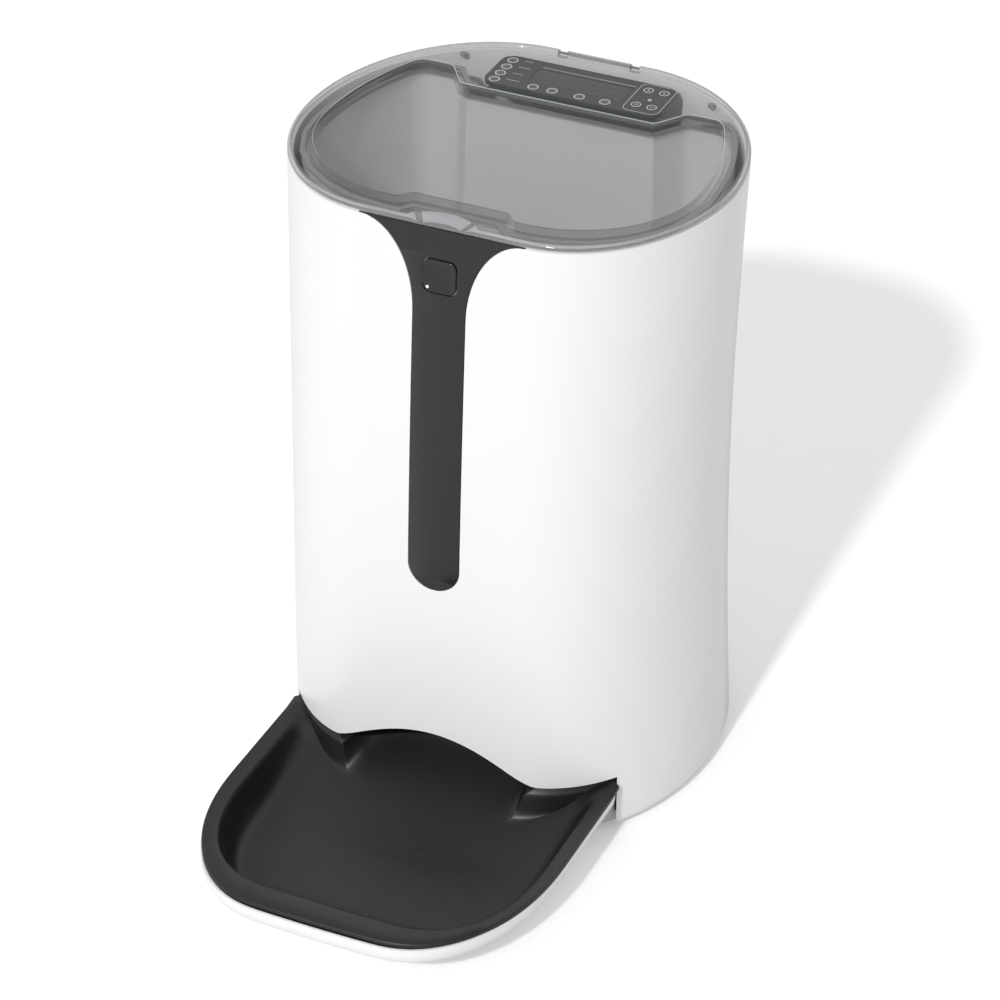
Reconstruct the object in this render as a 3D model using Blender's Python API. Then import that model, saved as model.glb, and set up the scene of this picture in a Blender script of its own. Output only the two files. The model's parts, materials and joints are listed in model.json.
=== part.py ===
"""Smart pet feeder: a tall hopper on a base with a dosing drum, a clear lid and a food tray.

Metres, +Z up, front towards -Y. The origin is on the floor, under the middle of the object.
Sizes marked "ahead" or "behind" are measured from the body's widest line, at y = WIDEST_Y.
"""
import math

import bmesh
import bpy
from mathutils import Matrix, Vector

MM = 0.001

# Clearances and cutters
SEAT_GAP = 0.3 * MM
RUN_GAP = 0.4 * MM
OVERRUN = 3 * MM
ROUND_SIDES = 20
SMALL_SIDES = 10
DRUM_SIDES = 32
SMOOTH_ANGLE = math.radians(35)

# Body: plan outline at the top, and how it changes downwards
BODY_HALF_WIDTH = 95 * MM
BODY_FRONT = 73 * MM
BODY_BACK = 86 * MM
FRONT_FLAT_HALF = 35 * MM
BACK_FLAT_HALF = 22 * MM
FRONT_LEAN = 13.5 * MM
SIDE_WAIST = 2 * MM
BACK_WAIST = 10 * MM
WAIST_SHIFT = 4 * MM
FOOT_LIFT = 1.2 * MM
BODY_TOP = 281.7 * MM
BODY_WALL = 2.6 * MM
BODY_FILLET = 5 * MM
BODY_LIP = 1.5 * MM
BODY_LIP_HEIGHT = 3 * MM
LEDGE_WIDTH = 2 * MM
LEDGE_HEIGHT = 3 * MM
OUTLINE_STEPS = 8
BODY_LEVELS = 6
FILLET_STEPS = 2

# Wave-shaped lower front edge of the body, over the tray
WAVE_HALF_WIDTH = 75.8 * MM
WAVE_HEIGHT = 28.2 * MM
ARCH_HALF_WIDTH = 47 * MM
ARCH_RISE = 15 * MM
ARCH_POWER = 1.3
WAVE_CUT_BEHIND_TIP = 5 * MM
TIP_AHEAD = 63.3 * MM
WAVE_STEPS = 16

# Tray and bowl: plan sizes, then the levels of the white hull below the bowl
TRAY_REACH = 201 * MM
TRAY_HALF_WIDTH = 77.5 * MM
TRAY_RIM_HEIGHT = 24.7 * MM
TRAY_SIDE_END = 120 * MM
TRAY_CORNER_FLAT = 26 * MM
TRAY_CORNER_POWER = 2.3
TIP_HALF_WIDTH = 75.2 * MM
TIP_CLEAR = 0.8 * MM
BOWL_WALL = 1.8 * MM
BOWL_INNER_HALF = 71 * MM
BOWL_INNER_REACH = 185 * MM
BOWL_INNER_POWER = 2.5
BOWL_RIM_DROP = 1.2 * MM
BOWL_FLOOR_HEIGHT = 6.5 * MM
BOWL_TIP_HALF = 66 * MM
BOWL_FLOOR_HALF = 56 * MM
BOWL_FLOOR_REACH = 164 * MM
BOWL_FLOOR_SHARE = 0.88
BOWL_FLOOR_BACK = 98 * MM
BOWL_FLOOR_RISE = 1.2 * MM
BOWL_EDGE_INSET = 3 * MM
BOWL_EDGE_DROP = 0.8 * MM
RAMP_HALF_WIDTH = 43 * MM
RAMP_END_AHEAD = 55 * MM
RAMP_SIDE_CLEAR = 3 * MM
RAMP_COLUMNS = 3
DIP_COLUMNS = 4
HULL_BACK_STEP = 1 * MM
RAMP_LIP_HEIGHT = 25 * MM
RAMP_LIP_RISE = 8.5 * MM
TRAY_EDGE_INSET = 0.8 * MM
HULL_WALL = 2.2 * MM
HULL_LEVELS = (18 * MM, 9.5 * MM, 3.6 * MM, 2.2 * MM)
HULL_SIDE_INSETS = (1.5 * MM, 9 * MM, 16 * MM, 22 * MM)
HULL_FRONT_INSETS = (3 * MM, 14 * MM, 25 * MM, 34 * MM)
HULL_BACK_FOOT = 3.5 * MM
TRAY_BACK_AHEAD = 87.6 * MM
TRAY_BACK_HEIGHT = 5.2 * MM
TRAY_FOOT_RADIUS = 5 * MM
TRAY_FOOT_HALF_SPAN = 34 * MM
TRAY_FOOT_AHEAD = (104 * MM, 146 * MM)

# Base plate with its front wall under the body's wave edge
BASE_THICKNESS = 3.2 * MM
BASE_EDGE_GAP = 0.3 * MM
FRONT_WALL_INSET = 5.2 * MM
FRONT_WALL_THICKNESS = 3.5 * MM
FRONT_WALL_HEIGHT = 26.4 * MM
FRONT_WALL_LOW = 9.5 * MM
BODY_FOOT_RADIUS = 7 * MM
BODY_FOOT_SPOTS = ((72 * MM, -34 * MM), (63 * MM, 38 * MM))
FOOT_POCKET = 0.8 * MM
SCREW_SPOTS = ((79 * MM, -15 * MM), (60 * MM, 60 * MM))
SCREW_HEAD_RADIUS = 3.2 * MM
SCREW_HEAD_HEIGHT = 1.4 * MM
SCREW_RADIUS = 1.4 * MM
SCREW_LENGTH = 11 * MM
SCREW_HEAD_DEPTH = 0.4 * MM
BOSS_RADIUS = 4.5 * MM
BOSS_TOP = 20 * MM
BOSS_RIB_WIDTH = 2.4 * MM
BOSS_REACH_SHARE = 0.7
GRILLE_RADIUS = 1.3 * MM
GRILLE_PITCH = 4.5 * MM

# Top deck, hopper mouth and lid
DECK_TOP = 280.3 * MM
DECK_THICKNESS = 2.4 * MM
MOUTH_HALF_WIDTH = 83 * MM
MOUTH_CENTRE_AHEAD = 8 * MM
MOUTH_FRONT = 51 * MM
MOUTH_FRONT_FLAT = 30 * MM
MOUTH_BACK = 93 * MM
MOUTH_BACK_FLAT = 22 * MM
MOUTH_BACK_LINE = 60.3 * MM
MOUTH_CORNER = 3 * MM
STEP_OUTER_HALF = 54 * MM
STEP_INNER_HALF = 44.5 * MM
STEP_DEPTH = 13.8 * MM
NOTCH_OUTER_HALF = 25.3 * MM
NOTCH_INNER_HALF = 21.4 * MM
NOTCH_DEPTH = 5.3 * MM
MOUTH_STEPS = 6
MOUTH_GROW = 3.6 * MM
PLUG_WALL = 2 * MM
PLUG_CLEAR = 1.6 * MM
LID_THICKNESS = 3 * MM
LID_LIFT = 0.3 * MM
LID_UNDER_CHAMFER = 1 * MM
LID_EDGE_ROUND = 2.4 * MM
LID_EDGE_DROP = 1.4 * MM
RECESS_DEPTH = 6.8 * MM
RECESS_DRAFT = 0.6 * MM
RECESS_ROUND = 0.9 * MM
SCOOP_RADIUS = 22.5 * MM
SCOOP_AHEAD = 86.5 * MM
SCOOP_LOW_RADIUS = 15 * MM
SCOOP_FLOOR = 0.9 * MM
LID_EDGE_STEP = 0.7 * MM
LID_EDGE_STEP_DROP = 0.5 * MM
SEAL_INNER = 0.3 * MM
SEAL_WIDTH = 2.2 * MM
PAD_RADIUS = 1.6 * MM
PAD_SPOTS = ((57 * MM, 70 * MM),)

# Lid hinge at the back edge
HINGE_EAR_INNER = 14.9 * MM
HINGE_EAR_WIDTH = 3.4 * MM
HINGE_BARREL_RADIUS = 1.5 * MM
HINGE_PIN_RADIUS = 0.6 * MM
HINGE_EAR_ROOT = 6 * MM

# Control panel
PANEL_HALF_WIDTH = 40.5 * MM
PANEL_FRONT = 50.9 * MM
PANEL_BACK = 78 * MM
PANEL_TOP = 281.2 * MM
PANEL_THICKNESS = 1.7 * MM
PANEL_CORNER = 6 * MM
PANEL_LEDGE = 1.2 * MM
LCD_LEFT = -22 * MM
LCD_RIGHT = 21.5 * MM
LCD_FRONT = 58.5 * MM
LCD_BACK = 71 * MM
LCD_GLASS = 1.2 * MM
KEY_CENTRES_X = (28 * MM, 35.1 * MM)
KEY_CENTRES_BEHIND = (57.8 * MM, 71.6 * MM)
KEY_RADIUS = 2.6 * MM
KEY_STEM_RADIUS = 1.2 * MM
KEY_PROUD = 0.2 * MM
KEY_CAP = 1.4 * MM
KEY_TRAVEL = 0.5 * MM
LED_CENTRE = (31.6 * MM, 64.2 * MM)
LED_RADIUS = 0.9 * MM
LAMP_RADIUS = 2.5 * MM
GUIDE_HALF_WIDTH = 1.5 * MM
GUIDE_DEPTH = 1 * MM
LAMP_COLUMN_X = -35.5 * MM
LAMP_COLUMN_BEHIND = (54.6 * MM, 60.8 * MM, 67.1 * MM, 73.4 * MM)
LAMP_ROW_X = (-17.6 * MM, -8.9 * MM, 3.6 * MM, 15.2 * MM)
LAMP_ROW_BEHIND = 54.6 * MM
BOARD_THICKNESS = 1.6 * MM
DISPLAY_BOARD_HALF = 38 * MM
DISPLAY_BOARD_FRONT = 50 * MM
DISPLAY_BOARD_BACK = 76 * MM
CLIP_WIDTH = 2 * MM
CLIP_LIP = 1.2 * MM
CLIP_FRONT = 61 * MM
CLIP_BACK = 68 * MM
BOARD_POST_RADIUS = 1.8 * MM
SWITCH_SIZE = 4 * MM
SWITCH_HEIGHT = 0.8 * MM

# Front trim and feed button
TRIM_TOP_HALF = 36.3 * MM
TRIM_STEM_HALF = 11.5 * MM
TRIM_FLARE_HEIGHT = 37.6 * MM
TRIM_LENGTH = 165.7 * MM
TRIM_THICKNESS = 1.2 * MM
TRIM_EDGE_GAP = 0.3 * MM
TRIM_FLARE_ROWS = 8
TRIM_STEM_ROWS = 5
TRIM_END_ROWS = 6
BUTTON_HEIGHT = 261.2 * MM
BUTTON_SIZE = 14.3 * MM
BUTTON_HOLE = 15.5 * MM
BUTTON_CORNER = 3.2 * MM
BUTTON_PROUD = 0.5 * MM
BUTTON_DEPTH = 2.2 * MM
BUTTON_STEM_RADIUS = 2.2 * MM
BUTTON_STEM_LENGTH = 1.6 * MM
BUTTON_TRAVEL = 0.8 * MM
BUTTON_DISH = 0.4 * MM
BUTTON_LAMP_RADIUS = 0.7 * MM
BUTTON_LAMP_INSET = 1.9 * MM
BUTTON_BOARD_HALF = 13 * MM
BUTTON_BOARD_HEIGHT = 14 * MM
BUTTON_BOARD_THICKNESS = 1 * MM
BUTTON_SWITCH_GAP = 0.9 * MM
BUTTON_SWITCH_DEPTH = 1 * MM
BUTTON_POST_RADIUS = 1.6 * MM
BUTTON_POST_SPAN = 10.5 * MM

# Hopper
HOPPER_WALL = 1.8 * MM
HOPPER_SHOULDER = 205 * MM
HOPPER_TAPER = 3 * MM
THROAT_HALF_WIDTH = 24 * MM
THROAT_HALF_DEPTH = 18 * MM
THROAT_TOP = 145 * MM
THROAT_BOTTOM = 137 * MM
THROAT_POWER = 6

# Dosing drum, rotor and drive
DRUM_AHEAD = 22 * MM
DRUM_HEIGHT = 108 * MM
DRUM_RADIUS = 29 * MM
DRUM_WALL = 2 * MM
DRUM_HALF_WIDTH = 29 * MM
COLLAR_FOOT = 120 * MM
SKIRT_BOTTOM = 76.8 * MM
SKIRT_TOP = 100 * MM
COLLAR_TOP = 143 * MM
OUTLET_AHEAD = 43.5 * MM
OUTLET_BEHIND = 0 * MM
BLADE_COUNT = 6
BLADE_THICKNESS = 2 * MM
BLADE_GAP = 0.7 * MM
HUB_RADIUS = 9 * MM
SHAFT_RADIUS = 3 * MM
SHAFT_LEFT = -34 * MM
SHAFT_RIGHT = 44.6 * MM
BUSH_RADIUS = 5.6 * MM
BUSH_LENGTH = 3.4 * MM
GEAR_TEETH = 24
PINION_TEETH = 8
GEAR_MODULE = 1.875 * MM
GEAR_MESH_GAP = 0.3 * MM
GEAR_FACE = 5.5 * MM
GEAR_START = 35 * MM
TOOTH_ROOT_SHARE = 0.62
TOOTH_PITCH_SHARE = 0.42
TOOTH_TIP_SHARE = 0.2
GEAR_TIP_SHARE = 0.8
GEAR_ROOT_SHARE = 1.05
BRACKET_START = 43 * MM
BRACKET_THICKNESS = 2 * MM
BRACKET_POST_RADIUS = 3 * MM
BRACKET_POST_HEIGHT = 80.5 * MM
BRACKET_POST_INSET = 3.6 * MM
BRACKET_BACK_BEHIND = 24 * MM
BRACKET_TOP = 126 * MM
MOTOR_RADIUS = 13.5 * MM
MOTOR_LENGTH = 30 * MM
MOTOR_SHAFT_RADIUS = 1.5 * MM
MOTOR_CAP_RADIUS = 5 * MM
MOTOR_CAP_LENGTH = 2 * MM
MOTOR_SCREW_SPAN = 8.5 * MM
SMALL_SCREW_RADIUS = 1 * MM

# Outlet chute, from the drum down to the bowl's ramp
CHUTE_HALF_WIDTH = 31 * MM
CHUTE_WALL = 2 * MM
CHUTE_FLOOR = 2.2 * MM
CHUTE_FLOOR_FRONT = 36 * MM
CHUTE_FLOOR_REAR = 71.5 * MM

# Batteries and electronics in the base
CELL_RADIUS = 16.4 * MM
CELL_LENGTH = 58 * MM
CELL_PITCH = 34 * MM
CELL_COUNT = 3
CELL_CENTRE_BEHIND = 36 * MM
BOX_WALL = 1.8 * MM
BOX_SIDE_GAP = 1.2 * MM
BOX_END_GAP = 2.6 * MM
BOX_TOP_GAP = 0.6 * MM
CONTACT_THICKNESS = 0.8 * MM
CONTACT_SIZE = 9 * MM
DOOR_THICKNESS = 2 * MM
DOOR_MARGIN = 1.4 * MM
MAIN_BOARD_HALF = 38 * MM
MAIN_BOARD_HALF_DEPTH = 24 * MM
MAIN_BOARD_POST = 3 * MM
CHIP_SIZE = 12 * MM
CHIP_HEIGHT = 2 * MM
JACK_HALF_WIDTH = 5.5 * MM
JACK_DEPTH = 8.6 * MM
JACK_HEIGHT = 14 * MM
JACK_HOLE_RADIUS = 3.4 * MM
JACK_BORE_DEPTH = 6.6 * MM
JACK_PIN_RADIUS = 1 * MM
JACK_WALL_GAP = 2.4 * MM
SPEAKER_X = 53 * MM
SPEAKER_AHEAD = 36 * MM
SPEAKER_RADIUS = 15 * MM
SPEAKER_HEIGHT = 7 * MM
SPEAKER_MAGNET_RADIUS = 8 * MM
SPEAKER_MAGNET_HEIGHT = 4 * MM

# Places worked out from the sizes above
WIDEST_Y = (TRAY_REACH - BODY_BACK) / 2
LID_BOTTOM = BODY_TOP + LID_LIFT
LID_TOP = LID_BOTTOM + LID_THICKNESS
HINGE_Y = WIDEST_Y + BODY_BACK - HINGE_BARREL_RADIUS
HINGE_Z = LID_BOTTOM + HINGE_BARREL_RADIUS
BASE_TOP = FOOT_LIFT + BASE_THICKNESS
DECK_BOTTOM = DECK_TOP - DECK_THICKNESS
DRUM_Y = WIDEST_Y - DRUM_AHEAD
GEAR_RADIUS = GEAR_MODULE * GEAR_TEETH / 2
PINION_RADIUS = GEAR_MODULE * PINION_TEETH / 2
PINION_Y = DRUM_Y + GEAR_RADIUS + PINION_RADIUS + GEAR_MESH_GAP


# Materials: colour, roughness, metallic, alpha

MATERIALS = {
    "white_shell": ((0.9, 0.9, 0.9), 0.3, 0, 1),
    "charcoal": ((0.045, 0.045, 0.047), 0.4, 0, 1),
    "charcoal_gloss": ((0.06, 0.06, 0.063), 0.3, 0, 1),
    "smoke_clear": ((0.6, 0.6, 0.62), 0.08, 0, 0.35),
    "tank_grey": ((0.62, 0.62, 0.63), 0.45, 0, 1),
    "deck_grey": ((0.5, 0.5, 0.52), 0.45, 0, 1),
    "seal_grey": ((0.35, 0.35, 0.36), 0.7, 0, 1),
    "rubber_black": ((0.03, 0.03, 0.03), 0.8, 0, 1),
    "steel": ((0.6, 0.6, 0.6), 0.3, 1, 1),
    "board_green": ((0.03, 0.16, 0.08), 0.5, 0, 1),
    "acetal": ((0.85, 0.85, 0.82), 0.4, 0, 1),
    "lamp_white": ((0.75, 0.78, 0.8), 0.3, 0, 1),
    "display_dark": ((0.03, 0.035, 0.035), 0.1, 0, 1),
    "cell_wrap": ((0.12, 0.13, 0.15), 0.35, 0.2, 1),
}


def material(name):
    """Return the named Principled material, made on first use."""
    found = bpy.data.materials.get(name)
    if found:
        return found
    colour, roughness, metallic, alpha = MATERIALS[name]
    made = bpy.data.materials.new(name)
    made.use_nodes = True
    shader = made.node_tree.nodes["Principled BSDF"]
    shader.inputs["Base Color"].default_value = (*colour, 1)
    shader.inputs["Roughness"].default_value = roughness
    shader.inputs["Metallic"].default_value = metallic
    shader.inputs["Alpha"].default_value = alpha
    made.diffuse_color = (*colour, alpha)
    return made


# Mesh helpers

def finish_mesh(mesh):
    """Point the faces out and shade round pieces smooth."""
    work = bmesh.new()
    work.from_mesh(mesh)
    bmesh.ops.recalc_face_normals(work, faces=work.faces)
    work.to_mesh(mesh)
    work.free()
    mesh.shade_smooth()
    mesh.set_sharp_from_angle(angle=SMOOTH_ANGLE)


def new_object(name, points, faces, finish):
    """Make a scene object from points and faces."""
    mesh = bpy.data.meshes.new(name)
    mesh.from_pydata([tuple(point) for point in points], [], faces)
    finish_mesh(mesh)
    mesh.materials.append(material(finish))
    made = bpy.data.objects.new(name, mesh)
    bpy.context.scene.collection.objects.link(made)
    return made


def skin(name, rings, finish, closed=False, capped=True):
    """Join rings with equal point counts into one body; closed joins the last ring to the first."""
    count = len(rings[0])
    points = [point for ring in rings for point in ring]
    faces = []
    spans = len(rings) if closed else len(rings) - 1
    for row in range(spans):
        low = row * count
        high = ((row + 1) % len(rings)) * count
        for step in range(count):
            after = (step + 1) % count
            faces.append((low + step, low + after, high + after, high + step))
    if capped and not closed:
        faces.append(tuple(range(count))[::-1])
        faces.append(tuple((len(rings) - 1) * count + step for step in range(count)))
    return new_object(name, points, faces, finish)


def level(outline, height):
    """Lift a plan outline to a height."""
    return [(x, y, height) for x, y in outline]


def prism(name, outline, bottom, top, finish="white_shell"):
    """Extrude a plan outline between two heights."""
    return skin(name, [level(outline, bottom), level(outline, top)], finish)


def box(name, low, high, finish="white_shell"):
    """Make a box from its lowest and highest corners."""
    outline = ((low[0], low[1]), (high[0], low[1]), (high[0], high[1]), (low[0], high[1]))
    return prism(name, outline, low[2], high[2], finish)


def circle(radius, sides=ROUND_SIDES, centre=(0, 0)):
    """Points of a circle in plan."""
    turns = [2 * math.pi * step / sides for step in range(sides)]
    return [(centre[0] + radius * math.cos(turn), centre[1] + radius * math.sin(turn)) for turn in turns]


def disc(name, centre, radius, bottom, top, finish="white_shell", sides=SMALL_SIDES):
    """Make an upright cylinder."""
    return prism(name, circle(radius, sides, centre), bottom, top, finish)


def along_x(name, profile, left, right, finish="white_shell"):
    """Extrude a profile of (y, z) points along X."""
    return skin(name, [[(x, y, z) for y, z in profile] for x in (left, right)], finish)


def along_y(name, profile, front, back, finish="white_shell"):
    """Extrude a profile of (x, z) points along Y."""
    return skin(name, [[(x, y, z) for x, z in profile] for y in (front, back)], finish)


def axle(name, centre, radius, left, right, finish="white_shell", sides=ROUND_SIDES):
    """Make a cylinder along X; centre is (y, z)."""
    return along_x(name, circle(radius, sides, centre), left, right, finish)


def boolean(target, tool, operation="DIFFERENCE"):
    """Apply a Boolean to the target and remove the tool."""
    step = target.modifiers.new(operation.lower(), "BOOLEAN")
    step.operation = operation
    step.object = tool
    graph = bpy.context.evaluated_depsgraph_get()
    result = bpy.data.meshes.new_from_object(target.evaluated_get(graph))
    target.modifiers.remove(step)
    finish = target.data.materials[0]
    target.data = result
    result.materials.clear()
    result.materials.append(finish)
    bpy.data.objects.remove(tool)
    finish_mesh(result)
    return target


def cut(target, *tools):
    """Subtract each tool from the target."""
    for tool in tools:
        boolean(target, tool, "DIFFERENCE")
    return target


def fuse(target, *tools):
    """Add each tool to the target."""
    for tool in tools:
        boolean(target, tool, "UNION")
    return target


def number(name, pieces):
    """Name the pieces of a repeated kind in order."""
    for place, piece in enumerate(pieces, start=1):
        piece.name = f"{name}_{place}"
    return pieces


def set_origin(target, point):
    """Put the object's origin on its joint axis and keep its place."""
    target.data.transform(Matrix.Translation(-Vector(point)))
    target.location = point
    return target


def offset_outline(outline, distance):
    """Move a counter-clockwise outline outwards by a distance, with mitred corners."""
    moved = []
    count = len(outline)
    for step, (x, y) in enumerate(outline):
        before = outline[step - 1]
        after = outline[(step + 1) % count]
        first = Vector((y - before[1], before[0] - x)).normalized()
        second = Vector((after[1] - y, x - after[0])).normalized()
        mitre = (first + second) / (1 + first.dot(second))
        moved.append((x + mitre.x * distance, y + mitre.y * distance))
    return moved


def mirrored(half):
    """Complete an outline whose right half runs counter-clockwise from the front."""
    return half + [(-x, y) for x, y in reversed(half)]


def ellipse_arc(centre, across, along, start, stop, steps, power=2):
    """Points on part of an ellipse, or of a squarer curve with a higher power."""
    points = []
    for step in range(steps + 1):
        turn = math.radians(start + (stop - start) * step / steps)
        side, ahead = math.cos(turn), math.sin(turn)
        reach_x = math.copysign(abs(side) ** (2 / power), side)
        reach_y = math.copysign(abs(ahead) ** (2 / power), ahead)
        points.append((centre[0] + across * reach_x, centre[1] + along * reach_y))
    return points


# Shape rules of the body

def depth_share(height):
    """0 at the body's top edge, 1 at its bottom."""
    return (BODY_TOP - height) / (BODY_TOP - FOOT_LIFT)


def front_face(height):
    """Y of the body's flat front at a height."""
    lean = FRONT_LEAN * math.sin(math.pi / 2 * max(0, depth_share(height)))
    return WIDEST_Y - BODY_FRONT - lean


def body_outline(height, inset=0):
    """Plan outline of the body at a height, counter-clockwise from the front."""
    waist = math.sin(math.pi * min(1, max(0, depth_share(height))))
    half_width = BODY_HALF_WIDTH - SIDE_WAIST * waist
    middle = WIDEST_Y - WAIST_SHIFT * waist
    front = middle - front_face(height)
    back = WIDEST_Y + BODY_BACK - BACK_WAIST * waist - middle
    half = ellipse_arc((FRONT_FLAT_HALF, middle), half_width - FRONT_FLAT_HALF, front, -90, 0, OUTLINE_STEPS)
    half += ellipse_arc((BACK_FLAT_HALF, middle), half_width - BACK_FLAT_HALF, back, 0, 90, OUTLINE_STEPS)[1:]
    outline = mirrored(half)
    return offset_outline(outline, -inset) if inset else outline


def body_front_at(x, height, inset=0):
    """Y of the body's front half at a place across, inset from the surface."""
    waist = math.sin(math.pi * depth_share(height))
    middle = WIDEST_Y - WAIST_SHIFT * waist
    across = BODY_HALF_WIDTH - SIDE_WAIST * waist - FRONT_FLAT_HALF - inset
    along = middle - front_face(height) - inset
    share = min(1, max(0, (abs(x) - FRONT_FLAT_HALF) / across))
    return middle - along * math.sqrt(1 - share * share)


def wave_height(x):
    """Height of the body's lower front edge at a place across."""
    share = min(1, abs(x) / ARCH_HALF_WIDTH)
    return WAVE_HEIGHT + ARCH_RISE * (1 - share * share) ** ARCH_POWER


def mouth_outline(grow=0):
    """Outline of the lid's sunken centre, stepped round the panel and the front catch."""
    middle = WIDEST_Y - MOUTH_CENTRE_AHEAD
    front = middle - MOUTH_FRONT
    back = middle + MOUTH_BACK_LINE
    across = MOUTH_HALF_WIDTH - MOUTH_BACK_FLAT
    stop = math.degrees(math.asin((MOUTH_BACK_LINE - MOUTH_CORNER) / MOUTH_BACK))
    half = [(NOTCH_INNER_HALF, front + NOTCH_DEPTH), (NOTCH_OUTER_HALF, front)]
    half += ellipse_arc((MOUTH_FRONT_FLAT, middle), MOUTH_HALF_WIDTH - MOUTH_FRONT_FLAT, MOUTH_FRONT,
                        -90, 0, MOUTH_STEPS)
    half += ellipse_arc((MOUTH_BACK_FLAT, middle), across, MOUTH_BACK, 0, stop, MOUTH_STEPS)[1:]
    corner_x = half[-1][0] - MOUTH_CORNER
    half += [(corner_x, back), (STEP_OUTER_HALF, back), (STEP_INNER_HALF, back - STEP_DEPTH)]
    outline = mirrored(half)
    return offset_outline(outline, grow) if grow else outline


# Body pieces

def make_outer_shell():
    """White outer body: one curved wall, open below, with a ledge for the deck."""
    bottom = FOOT_LIFT
    rings = []
    for step in range(BODY_LEVELS + 1):
        height = BODY_TOP + (bottom + BODY_FILLET - BODY_TOP) * step / BODY_LEVELS
        rings.append(level(body_outline(height), height))
    for step in range(1, FILLET_STEPS + 1):
        turn = math.pi / 2 * step / FILLET_STEPS
        height = bottom + BODY_FILLET * (1 - math.sin(turn))
        inset = BODY_FILLET * (1 - math.cos(turn))
        rings.append(level(body_outline(bottom + BODY_FILLET, inset), height))
    lip = BODY_FILLET + BODY_LIP
    rings.append(level(body_outline(bottom + BODY_FILLET, lip), bottom))
    rings.append(level(body_outline(bottom + BODY_FILLET, lip), bottom + BODY_LIP_HEIGHT))
    wall_foot = bottom + BODY_FILLET + BODY_LIP_HEIGHT
    ledge_top = DECK_BOTTOM - SEAT_GAP
    ledge_foot = ledge_top - LEDGE_HEIGHT - LEDGE_WIDTH
    for step in range(BODY_LEVELS):
        height = wall_foot + (ledge_foot - wall_foot) * step / (BODY_LEVELS - 1)
        rings.append(level(body_outline(height, BODY_WALL), height))
    for height, inset in ((ledge_top - LEDGE_HEIGHT, BODY_WALL + LEDGE_WIDTH),
                          (ledge_top, BODY_WALL + LEDGE_WIDTH),
                          (ledge_top, BODY_WALL),
                          (BODY_TOP, BODY_WALL)):
        rings.append(level(body_outline(height, inset), height))
    shell = skin("outer_shell", rings, "white_shell", closed=True)

    grow = MOUTH_GROW + HOPPER_WALL + RUN_GAP
    cut(shell, prism("hopper_room", mouth_outline(grow), ledge_foot, BODY_TOP + OVERRUN))

    for x, behind in SCREW_SPOTS:
        for side in (-1, 1):
            spot = (side * x, WIDEST_Y + behind)
            reach = wall_point(spot)
            boss = disc("boss", spot, BOSS_RADIUS, BASE_TOP + SEAT_GAP, BOSS_TOP)
            rib = rib_between("rib", spot, reach, BOSS_RIB_WIDTH, BASE_TOP + SEAT_GAP, BOSS_TOP)
            fuse(shell, fuse(boss, rib))
            cut(shell, disc("bore", spot, SCREW_RADIUS + SEAT_GAP, 0, BASE_TOP + SCREW_LENGTH + SEAT_GAP))

    wave = [(-WAVE_HALF_WIDTH, -OVERRUN), (WAVE_HALF_WIDTH, -OVERRUN)]
    for step in range(WAVE_STEPS + 1):
        x = WAVE_HALF_WIDTH * (1 - 2 * step / WAVE_STEPS)
        wave.append((x, wave_height(x)))
    wave_back = WIDEST_Y - TIP_AHEAD + WAVE_CUT_BEHIND_TIP
    cut(shell, along_y("wave", wave, front_face(FOOT_LIFT) - OVERRUN, wave_back))

    cut(shell, trim_sheet("trim_pocket", TRIM_EDGE_GAP, OVERRUN, TRIM_THICKNESS + TRIM_EDGE_GAP))
    cut(shell, button_block("button_hole", BUTTON_HOLE, -OVERRUN, BODY_WALL + OVERRUN, BUTTON_CORNER))
    for side in (-1, 1):
        post = button_post("post", side)
        fuse(shell, post)

    for side in (-1, 1):
        fuse(shell, hinge_ear("ear", side))
        cut(shell, axle("pin_bore", (HINGE_Y, HINGE_Z), HINGE_PIN_RADIUS + SEAT_GAP,
                        *ear_span(side, OVERRUN), sides=SMALL_SIDES))

    jack_height = BASE_TOP + SEAT_GAP + JACK_HEIGHT / 2
    hole = [(x, z + jack_height) for x, z in circle(JACK_HOLE_RADIUS)]
    back = WIDEST_Y + BODY_BACK
    cut(shell, along_y("jack_hole", hole, back - BACK_WAIST - OVERRUN, back + OVERRUN))
    return shell


def wall_point(spot):
    """Point on the body's wall straight out from a screw spot."""
    outline = body_outline(BOSS_TOP, BODY_WALL * BOSS_REACH_SHARE)
    away = Vector(spot) - Vector((0, WIDEST_Y))
    away.normalize()
    return max(outline, key=lambda point: (Vector(point) - Vector((0, WIDEST_Y))).normalized().dot(away))


def rib_between(name, start, stop, width, bottom, top):
    """Straight upright web between two plan points."""
    way = (Vector(stop) - Vector(start)).normalized()
    side = Vector((-way.y, way.x)) * width / 2
    corners = [Vector(start) - side, Vector(stop) - side, Vector(stop) + side, Vector(start) + side]
    return prism(name, [(corner.x, corner.y) for corner in corners], bottom, top)


def ear_span(side, extra=0):
    """Left and right ends of a hinge ear."""
    ends = sorted((side * HINGE_EAR_INNER, side * (HINGE_EAR_INNER + HINGE_EAR_WIDTH)))
    return ends[0] - extra, ends[1] + extra


def hinge_ear(name, side):
    """Ear on the body's back edge that holds one hinge pin."""
    back = WIDEST_Y + BODY_BACK
    front = back - 2 * HINGE_BARREL_RADIUS
    profile = [(front, BODY_TOP - HINGE_EAR_ROOT), (back, BODY_TOP - HINGE_EAR_ROOT), (back, HINGE_Z)]
    for step in range(1, SMALL_SIDES // 2):
        turn = math.pi * step / (SMALL_SIDES // 2)
        profile.append((HINGE_Y + HINGE_BARREL_RADIUS * math.cos(turn),
                        HINGE_Z + HINGE_BARREL_RADIUS * math.sin(turn)))
    profile.append((front, HINGE_Z))
    return along_x(name, profile, *ear_span(side))


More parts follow.
